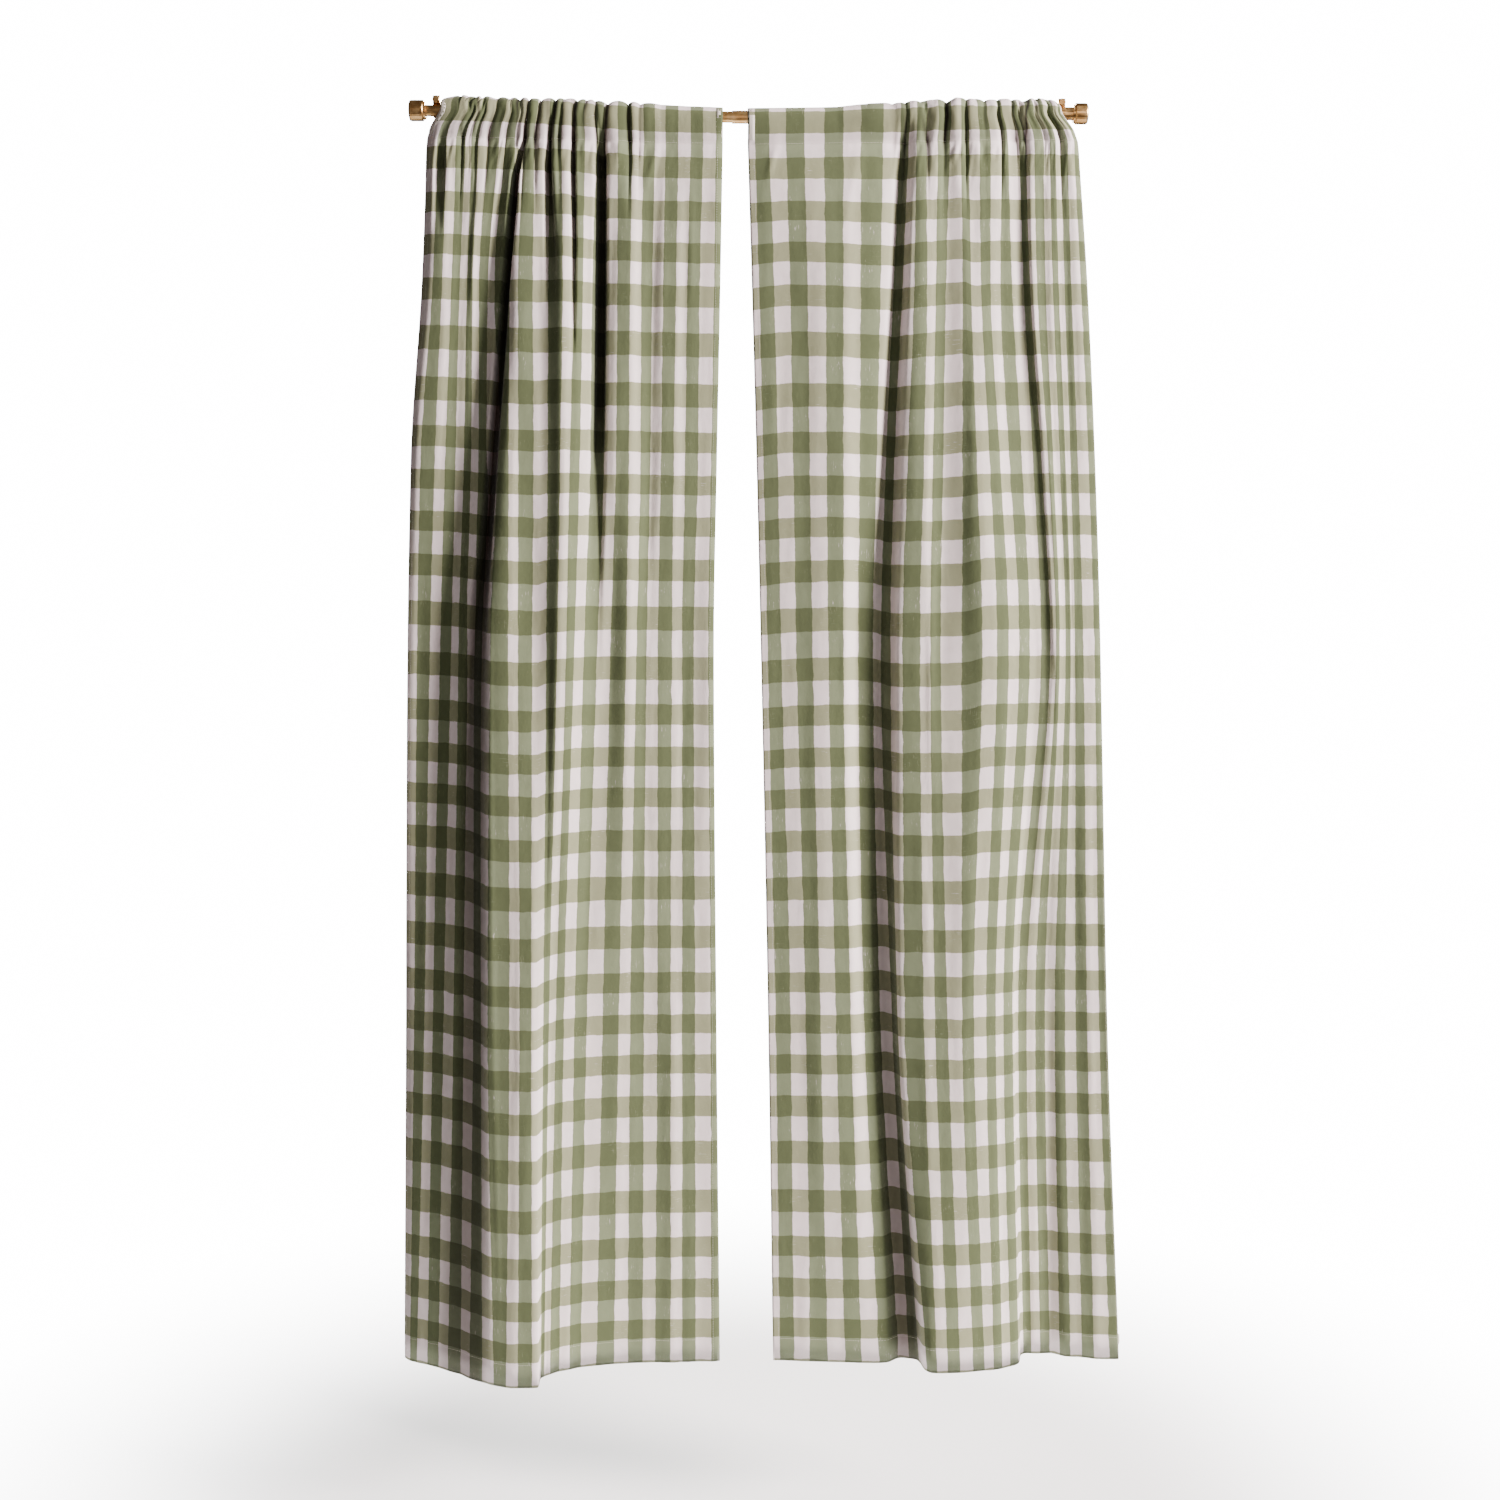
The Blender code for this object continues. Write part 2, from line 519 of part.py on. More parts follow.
def make_bracket(name, x, tube_diameter, collection, cutters, material):
    """Wall plate, arm and collar in one casting, with a lug for the clamping screw."""
    height = float(rod_height(x))
    collar_bore = tube_diameter + 2.0 * COLLAR_CLEARANCE
    collar_outside = collar_bore + 2.0 * COLLAR_THICKNESS
    axis_point = Vector((x, -ROD_FORWARD, height))
    plate_depth = WALL_PLATE[1]
    bracket = add_box(name, WALL_PLATE, (x, -plate_depth / 2.0, height), collection, material)

    arm_front = -ROD_FORWARD + collar_bore / 2.0 + COLLAR_THICKNESS / 2.0
    arm_back = -plate_depth / 2.0
    arm_size = (ARM_SECTION[0], arm_back - arm_front, ARM_SECTION[1])
    arm = add_box(name + "_arm", arm_size, (x, (arm_front + arm_back) / 2.0, height), cutters, None)
    join_or_cut(bracket, arm, "UNION")

    collar = add_cylinder(name + "_collar", collar_outside, COLLAR_WIDTH, axis_point, "X", cutters, None)
    join_or_cut(bracket, collar, "UNION")

    lug_place = axis_point + Vector((0.0, 0.0, LUG_RISE))
    lug = add_box(name + "_lug", LUG, lug_place, cutters, None)
    join_or_cut(bracket, lug, "UNION")

    bore = add_cylinder(name + "_bore", collar_bore, 2.0 * COLLAR_WIDTH, axis_point, "X", cutters, None)
    join_or_cut(bracket, bore, "DIFFERENCE")

    hole_length = 2.0 * (SCREW_SHANK_LENGTH + SCREW_GAP)
    hole_place = lug_place - Vector((0.0, LUG[1] / 2.0, 0.0))
    hole = add_cylinder(name + "_hole", SCREW_HOLE_DIAMETER, hole_length, hole_place, "Y", cutters, None)
    join_or_cut(bracket, hole, "DIFFERENCE")
    return bracket


def make_screw(name, x, collection, material):
    """The clamping screw: head against the front of the lug, shank inside it."""
    height = float(rod_height(x)) + LUG_RISE
    head_back = -ROD_FORWARD - LUG[1] / 2.0 - SCREW_GAP
    head = SCREW_HEAD_DIAMETER / 2.0
    shank = SCREW_SHANK_DIAMETER / 2.0
    profile = (
        (0.0, SCREW_HEAD_LENGTH),
        (head - SCREW_HEAD_EASE, SCREW_HEAD_LENGTH),
        (head, SCREW_HEAD_LENGTH - SCREW_HEAD_EASE),
        (head, 0.0),
        (shank, 0.0),
        (shank, -SCREW_SHANK_LENGTH + SCREW_GAP),
        (0.0, -SCREW_SHANK_LENGTH + SCREW_GAP),
    )
    turned = bmesh.new()
    corners = [turned.verts.new((radius, 0.0, along)) for radius, along in profile]
    for a, b in zip(corners[:-1], corners[1:]):
        turned.edges.new((a, b))
    mesh = bpy.data.meshes.new(name)
    turned.to_mesh(mesh)
    turned.free()
    screw = add_object(name, mesh, collection, material)
    screw.location = (x, head_back, height)
    screw.rotation_euler = (math.pi / 2.0, 0.0, 0.0)
    turn = screw.modifiers.new("turn", "SCREW")
    turn.steps = 24
    turn.render_steps = 24
    turn.use_merge_vertices = True
    turn.merge_threshold = 0.0001
    return screw


def main():
    clear_scene()
    parts = new_collection("curtain_pair_on_rod")
    cutters = new_collection("cutters")
    cloth = make_material("check_cloth", SAGE, 0.9, 0.0)
    brass = make_material("aged_brass", BRASS, 0.35, 1.0)

    left_drape = Drape(LEFT_FOLDS, LEFT_GATHERS, LEFT_SAG, LEFT_VALLEYS, LEFT_COLUMNS_PER_FOLD,
                       INNER_TUBE_DIAMETER, LEFT_EDGE_DRAW, LEFT_FOLDS[0][0])
    right_drape = Drape(RIGHT_FOLDS, RIGHT_GATHERS, RIGHT_SAG, RIGHT_VALLEYS, RIGHT_COLUMNS_PER_FOLD,
                        OUTER_TUBE_DIAMETER, RIGHT_EDGE_DRAW, RIGHT_FOLDS[-1][0])
    make_panel("left_curtain_panel", left_drape, parts, cloth)
    make_panel("right_curtain_panel", right_drape, parts, cloth)

    make_tube("rod_inner_tube", INNER_TUBE_END_X, TUBE_JOINT_X + TUBE_OVERLAP,
              INNER_TUBE_DIAMETER, parts, brass)
    make_tube("rod_outer_tube", TUBE_JOINT_X, OUTER_TUBE_END_X, OUTER_TUBE_DIAMETER, parts, brass)

    make_finial("left_finial", LEFT_FINIAL_X, INNER_TUBE_DIAMETER, INNER_TUBE_END_X, parts, brass)
    make_finial("right_finial", RIGHT_FINIAL_X, OUTER_TUBE_DIAMETER, OUTER_TUBE_END_X, parts, brass)

    sides = (("left", -BRACKET_SPAN / 2.0, INNER_TUBE_DIAMETER),
             ("right", BRACKET_SPAN / 2.0, OUTER_TUBE_DIAMETER))
    for side, x, tube_diameter in sides:
        make_bracket(side + "_bracket", x, tube_diameter, parts, cutters, brass)
        make_screw(side + "_bracket_screw", x, parts, brass)


main()
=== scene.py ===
# A pair of rod-pocket check curtains on a telescoping brass rod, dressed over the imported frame.
# Metres throughout: X runs along the rod, +Y into the wall, +Z up, the room is on the -Y side.
import math

import bmesh
import bpy
import numpy as np
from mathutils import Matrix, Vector


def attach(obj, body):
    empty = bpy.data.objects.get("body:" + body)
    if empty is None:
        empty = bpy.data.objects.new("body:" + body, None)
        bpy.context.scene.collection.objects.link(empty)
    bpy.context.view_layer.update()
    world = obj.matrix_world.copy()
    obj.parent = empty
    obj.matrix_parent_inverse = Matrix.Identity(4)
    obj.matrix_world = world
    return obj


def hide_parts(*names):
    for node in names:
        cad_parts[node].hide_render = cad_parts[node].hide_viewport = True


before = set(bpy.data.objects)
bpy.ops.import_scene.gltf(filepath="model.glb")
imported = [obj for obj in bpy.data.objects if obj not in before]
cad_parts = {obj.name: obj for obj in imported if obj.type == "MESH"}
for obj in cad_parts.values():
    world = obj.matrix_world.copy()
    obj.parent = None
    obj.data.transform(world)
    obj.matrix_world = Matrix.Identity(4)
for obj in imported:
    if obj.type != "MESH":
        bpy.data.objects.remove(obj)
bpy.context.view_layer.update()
print("frame loaded:", ", ".join(sorted(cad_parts)))

mm = 0.001


# Shader maths

class Value:
    # one output of a shader node, which can be used in an expression
    def __init__(self, shader, socket):
        self.shader = shader
        self.socket = socket

    def maths(self, operation, *others):
        return self.shader.node("ShaderNodeMath", {"operation": operation}, {
            i: other for i, other in enumerate((self,) + others)})

    def __add__(self, other):
        return self.maths("ADD", other)

    def __radd__(self, other):
        return self.maths("ADD", other)

    def __sub__(self, other):
        return self.maths("SUBTRACT", other)

    def __rsub__(self, other):
        return self.shader.node("ShaderNodeMath", {"operation": "SUBTRACT"}, {0: other, 1: self})

    def __mul__(self, other):
        return self.maths("MULTIPLY", other)

    def __truediv__(self, other):
        return self.maths("DIVIDE", other)

    def __abs__(self):
        return self.maths("ABSOLUTE")

    def part(self):
        return self.maths("FRACT")          # what is left after the whole number

    def wave(self):
        return self.maths("SINE")

    def ramp(self, low, high):
        # 0 below low, 1 above high and soft between; low may be the larger one
        return self.shader.node("ShaderNodeMapRange", {"interpolation_type": "SMOOTHSTEP", "clamp": True},
                                {"Value": self, "From Min": low, "From Max": high})


class Shader:
    # one material and the nodes in it
    def __init__(self, name):
        self.material = bpy.data.materials.new(name)
        self.material.use_nodes = True
        self.tree = self.material.node_tree
        self.surface = self.tree.nodes["Principled BSDF"]

    def node(self, kind, settings=None, inputs=None, output=0):
        made = self.tree.nodes.new(kind)
        for key, value in (settings or {}).items():
            setattr(made, key, value)
        for key, value in (inputs or {}).items():
            self.feed(made.inputs[key], value)
        return Value(self, made.outputs[output])

    def feed(self, socket, value):
        if isinstance(value, Value):
            self.tree.links.new(value.socket, socket)
        else:
            socket.default_value = value

    def blend(self, factor, first, second):
        return self.node("ShaderNodeMix", {"data_type": "RGBA"}, {0: factor, 6: first, 7: second}, output=2)

    def shade(self, factor, colour, amount):
        # colour multiplied by amount, as far as factor says
        return self.node("ShaderNodeMix", {"data_type": "RGBA", "blend_type": "MULTIPLY"},
                         {0: factor, 6: colour, 7: amount}, output=2)

    def axes(self, place):
        # how far across and how far down a place is
        apart = self.node("ShaderNodeSeparateXYZ", None, {0: place})
        return apart, Value(self, apart.socket.node.outputs[1])

    def clothPlace(self, layer):
        return self.node("ShaderNodeUVMap", {"uv_map": layer})

    def objectPlace(self):
        return self.node("ShaderNodeTexCoord", output=3)

    def noise(self, place, scale, detail=2.0, roughness=0.5):
        return self.node("ShaderNodeTexNoise", None, {
            "Vector": place, "Scale": scale, "Detail": detail, "Roughness": roughness})

    def stretched(self, place, first, second, third=1.0):
        return self.node("ShaderNodeMapping", None, {"Vector": place, "Scale": (first, second, third)})

    def bump(self, height, strength, distance, normal=None):
        inputs = {"Height": height, "Strength": strength, "Distance": distance}
        if normal is not None:
            inputs["Normal"] = normal
        return self.node("ShaderNodeBump", None, inputs)

    def finish(self, **sockets):
        for name, value in sockets.items():
            self.feed(self.surface.inputs[socketNames[name]], value)
        return self.material


socketNames = {
    "colour": "Base Color",
    "roughness": "Roughness",
    "metallic": "Metallic",
    "normal": "Normal",
    "sheen": "Sheen Weight",
    "sheenRoughness": "Sheen Roughness",
    "specular": "Specular IOR Level",
    "alpha": "Alpha",
}


def paint(red, green, blue):
    # a colour as seen, 0 to 255, in the linear numbers that the nodes use
    linear = [((seen / 255.0 + 0.055) / 1.055) ** 2.4 for seen in (red, green, blue)]
    return (*linear, 1.0)


# The cloth's print and weave

clothPrint = {
    "checkWidth": 0.060,            # one white and one green stripe, across the flat cloth
    "checkHeight": 0.0762,          # the same down the cloth
    "firstRow": 0.0423,             # middle of a white row, below the rod's ends
    "whiteShare": 0.525,            # of a check's height
    "rowsPerRepeat": 6.0,           # the painted rows come round again after so many
    "rowsInAll": 27.0,
    "rowUnevenness": 0.10,          # of a check
    "rowStart": 1.05,               # where in their repeat the first row is, in radians
    "rowDrift": 0.20,               # how much later the rows come half way down, in checks
    "stripeUnevenness": 0.012,
    "stripeStart": 0.8,
    "edgeWander": 1.1 * mm,         # slow wobble of a brushed edge
    "edgeRoughness": 0.45 * mm,
    "edgeSoftness": 0.5 * mm,
    "white": paint(231, 220, 221),
    "acrossOnly": paint(141, 144, 114),     # where only a row is painted
    "downOnly": paint(116, 126, 98),        # where only a stripe is painted
    "crossing": paint(83, 92, 62),
    "deepShade": (0.06, 0.03, 0.02, 1.0),   # light lost between two folds that nearly touch
    "deepShare": 0.97,              # how much of the colour the deepest place loses to it
    "wanderScale": 34.0,            # noise scales, to the metre
    "roughScale": 420.0,
    "dryScale": (520.0, 60.0),      # across and along the brush
    "dryFrom": (0.60, 0.70),        # where the paint starts to be thin, and where it is thinnest
    "dryShare": (0.55, 0.45),       # how thin it gets, in stripes and in rows
    "patchScale": 17.0,
    "patchFrom": (0.50, 0.68),
    "washScale": 46.0,
    "washFrom": (0.30, 0.72),
    "washShare": 0.55,
    "wash": (0.90, 0.90, 0.89, 1.0),
    "threadPitch": 0.62 * mm,
    "slubScale": (140.0, 900.0),    # along and across a thick thread
    "weaveHeight": 0.22 * mm,
    "crumpleScale": (34.0, 15.0),
    "crumpleHeight": 4.0 * mm,
    "roughness": 0.86,
    "slubRoughness": 0.16,
}


def weaveHeight(across, down):
    # threads over and under each other, from -1 to 1
    perMetre = 2.0 * math.pi / clothPrint["threadPitch"]
    return (across * perMetre).wave() * (down * perMetre).wave()


def clothShader(name, columnShift):
    look = clothPrint
    shader = Shader(name)
    flat = shader.clothPlace("flatCloth")
    across, down = shader.axes(flat)

    wander = shader.noise(flat, look["wanderScale"], 1.0) - 0.5
    rough = shader.noise(flat, look["roughScale"], 2.0) - 0.5
    brush = wander * (4.0 * look["edgeWander"]) + rough * (4.0 * look["edgeRoughness"])

    # from 0 in the middle of a white stripe or row to 0.5 in the middle of a painted one
    turn = 2.0 * math.pi / look["rowsPerRepeat"]
    stripes = (across + brush) / look["checkWidth"] + columnShift
    stripes = stripes + (stripes * turn + look["stripeStart"]).wave() * look["stripeUnevenness"]
    fromStripe = abs((stripes - 0.25).part() - 0.5)
    rows = (down - look["firstRow"] + brush) / look["checkHeight"]
    uneven = (rows * turn + look["rowStart"]).wave() * -look["rowUnevenness"]
    drift = (rows * (math.pi / look["rowsInAll"])).wave() * -look["rowDrift"]
    rows = rows + uneven + drift
    fromRow = abs((rows + 0.5).part() - 0.5)

    soft = look["edgeSoftness"] / look["checkWidth"]
    stripe = fromStripe.ramp(0.25 + soft, 0.25 - soft)
    row = fromRow.ramp(look["whiteShare"] / 2.0 - soft, look["whiteShare"] / 2.0 + soft)

    dryDown = shader.noise(shader.stretched(flat, *look["dryScale"]), 1.0, 3.0, 0.6)
    dryAcross = shader.noise(shader.stretched(flat, *look["dryScale"][::-1]), 1.0, 3.0, 0.6)
    patches = shader.noise(flat, look["patchScale"], 2.0).ramp(*look["patchFrom"])
    stripe = stripe * (1.0 - dryDown.ramp(*look["dryFrom"]) * patches * look["dryShare"][0])
    row = row * (1.0 - dryAcross.ramp(*look["dryFrom"]) * patches * look["dryShare"][1])

    lower = shader.blend(stripe, look["white"], look["downOnly"])
    upper = shader.blend(stripe, look["acrossOnly"], look["crossing"])
    colour = shader.blend(row, lower, upper)
    wash = shader.noise(flat, look["washScale"], 3.0, 0.55).ramp(*look["washFrom"])
    colour = shader.shade(wash * look["washShare"], colour, look["wash"])
    # painted shade: the colour is darkened deep in the valleys and tucks, where little light would reach
    deep = shader.axes(shader.clothPlace("paintedCreaseShade"))[0]
    colour = shader.shade(deep * look["deepShare"], colour, look["deepShade"])

    slub = shader.noise(shader.stretched(flat, *look["slubScale"][::-1]), 1.0, 3.0)
    slubAcross = shader.noise(shader.stretched(flat, *look["slubScale"]), 1.0, 3.0)
    normal = shader.bump(weaveHeight(across, down) * 0.5 + slub + slubAcross, 0.35, look["weaveHeight"])
    crumple = shader.noise(shader.stretched(flat, *look["crumpleScale"]), 1.0, 3.0, 0.55)
    normal = shader.bump(crumple, 0.25, look["crumpleHeight"], normal)
    roughness = look["roughness"] + (slub - 0.5) * look["slubRoughness"]
    return shader.finish(colour=colour, roughness=roughness, normal=normal, sheen=0.12, sheenRoughness=0.45,
                         specular=0.25)


clothBack = {
    "colour": paint(212, 207, 198),
    "tint": (0.90, 0.89, 0.87, 1.0),
    "toneScale": 30.0,
    "toneFrom": (0.3, 0.75),
    "weaveHeight": 0.2 * mm,
    "roughness": 0.8,
    "slubRoughness": 0.15,
}


def reverseShader(name):
    look = clothBack
    shader = Shader(name)
    flat = shader.clothPlace("flatCloth")
    slub = shader.noise(shader.stretched(flat, *clothPrint["slubScale"][::-1]), 1.0, 3.0)
    tone = shader.noise(flat, look["toneScale"], 3.0).ramp(*look["toneFrom"])
    colour = shader.shade(tone * 0.5 + slub * 0.3, look["colour"], look["tint"])
    normal = shader.bump(weaveHeight(*shader.axes(flat)) * 0.5 + slub, 0.3, look["weaveHeight"])
    roughness = look["roughness"] + (slub - 0.5) * look["slubRoughness"]
    return shader.finish(colour=colour, roughness=roughness, normal=normal, sheen=0.1,
                         sheenRoughness=0.5, specular=0.25)


# How the cloth hangs

rod = {
    "bracketSpan": 1.057,           # between the middles of the two collars
    "forward": 0.085,               # rod axis in front of the wall
    "sag": 0.0086,                  # how far its middle hangs below its ends
    "tilt": 0.0054,                 # how much lower the right bracket is
    "thinTube": 0.019,
    "thickTube": 0.022,
}

drape = {
    "columnsPerCheck": 20,
    "stitchDrop": 0.046,            # seam under the pocket, below the rod's axis
    "hemDrop": 2.116,               # below the rod's ends
    "levels": (0.046, 0.285, 0.590, 0.895, 1.504, 2.116),   # where the fold tables are given
    "sagGrows": (0.0, 0.15, 0.45, 0.8, 1.0, 1.0),       # share of the sag reached at each level
    "seatGap": 0.0004,              # between the rod and the cloth that bears on it
    "solidCloth": 1.5 * mm,         # thickness of the cloth in the frame's solids
    "pocketSlack": 0.0035,          # how much looser the pocket is before and behind the rod
    "pocketCloth": 0.15,            # length of cloth from the seam up over the rod and back
    "gatherHeight": 0.0110,         # how far the gathers stand up off the rod
    "seamGather": 0.0065,           # how far they swing in and out along the seam
    "headingHeight": 0.066,         # from the seam to the crown of the pocket
    "gatherFade": 0.17,             # they die out this far below the seam
    "crestShape": 0.42,             # below 1, the crest of a gather is broad and the tuck sharp
    "seamPinch": 0.0032,            # the thread draws the cloth in along the seam
    "pinchWhereFlat": 0.35,         # share of it where the heading is not gathered
    "pinchReach": 0.0075,
    "midDrop": 0.028,               # a row of points between the seam and the rod
    "midToRod": 0.35,
    "midOut": 0.55,
    "backToSeam": 2.2 * mm,         # the back of the pocket lies this far behind its seam
    "edgeDrawReach": 8.0,           # checks over which the drawing in of the outer edge dies out
    "edgeDrawnAtOnce": 0.75,        # share of it that is reached just above the seam
    "turns": (-18, 20, 55, 90, 125, 160, 198),      # degrees round the rod, from the front
    "frontTurn": 0.7,               # the gathers' height against the turn, up to the crown
    "valleyEdge": 5,                # the higher, the steeper a valley's sides
    # tuckWidth, tuckDark, tuckDarkGrows and tuckShadeFade shape the painted shade in the heading's tucks
    "tuckWidth": 0.085,             # of the dark in a tuck, in checks
    "tuckDark": 1.2,
    "tuckDarkGrows": 1.5,
    "tuckShadeFade": 0.020,         # the dark of the tucks dies out this far below the seam
    "hillsFrom": 0.10,              # the long hills are whole this far below the seam
    "seamHillsFrom": 0.012,
    "seamHillsFade": 0.07,
    "kinkFade": 0.045,
    "sidewaysFade": 0.09,
    "creaseEnds": (0.02, 0.98),
    "thickness": 1.1 * mm,
    "bottomHem": 0.040,
    "sideHem": 0.014,
    "hemStep": 1.7 * mm,            # from one layer of a hem to the next
    "hemRows": (1.0, 0.7, 0.4, 0.15),       # rows of points up a hem, as shares of its width
    "sideHemColumns": (1.0, 0.6, 0.25),
    "hangingRows": 112,
    "evenRows": 0.22,               # share of the even spacing in how the rows are spread
    "pocketRows": 30,
    "probeDown": 1.0 * mm,          # how far away the points are that show which way the cloth faces
    "probeAcross": 0.02,
}

# Random hills in the cloth: which random table, hills to a check across, slant, hills to a metre
# down (or to a turn of the pocket), start and height
hillKinds = {
    "long": (1, 1.9, 0.0, 3.1, 5.0, 1.3 * mm),
    "soft": (2, 3.6, 2.0, 9.0, 0.0, 0.45 * mm),
    "sideways": (3, 1.7, 0.0, 26.0, 0.0, 0.8 * mm),
    "seam": (4, 4.4, 0.0, 17.0, 0.0, 1.5 * mm),
    "lean": (5, 1.3, 0.4, 0.7, 0.0, 0.05),
    "pocketSideways": (6, 1.9, 0.0, 1.3, 0.0, 1.0 * mm),
    "pocketHeight": (7, 1.45, 0.0, 0.25, 0.0, 2.6 * mm),
    "kinks": (8, 5.5, 30.0, 44.0, 0.0, 2.2 * mm),
    "pocketKinks": (9, 4.2, 0.8, 1.1, 0.0, 1.1 * mm),
}

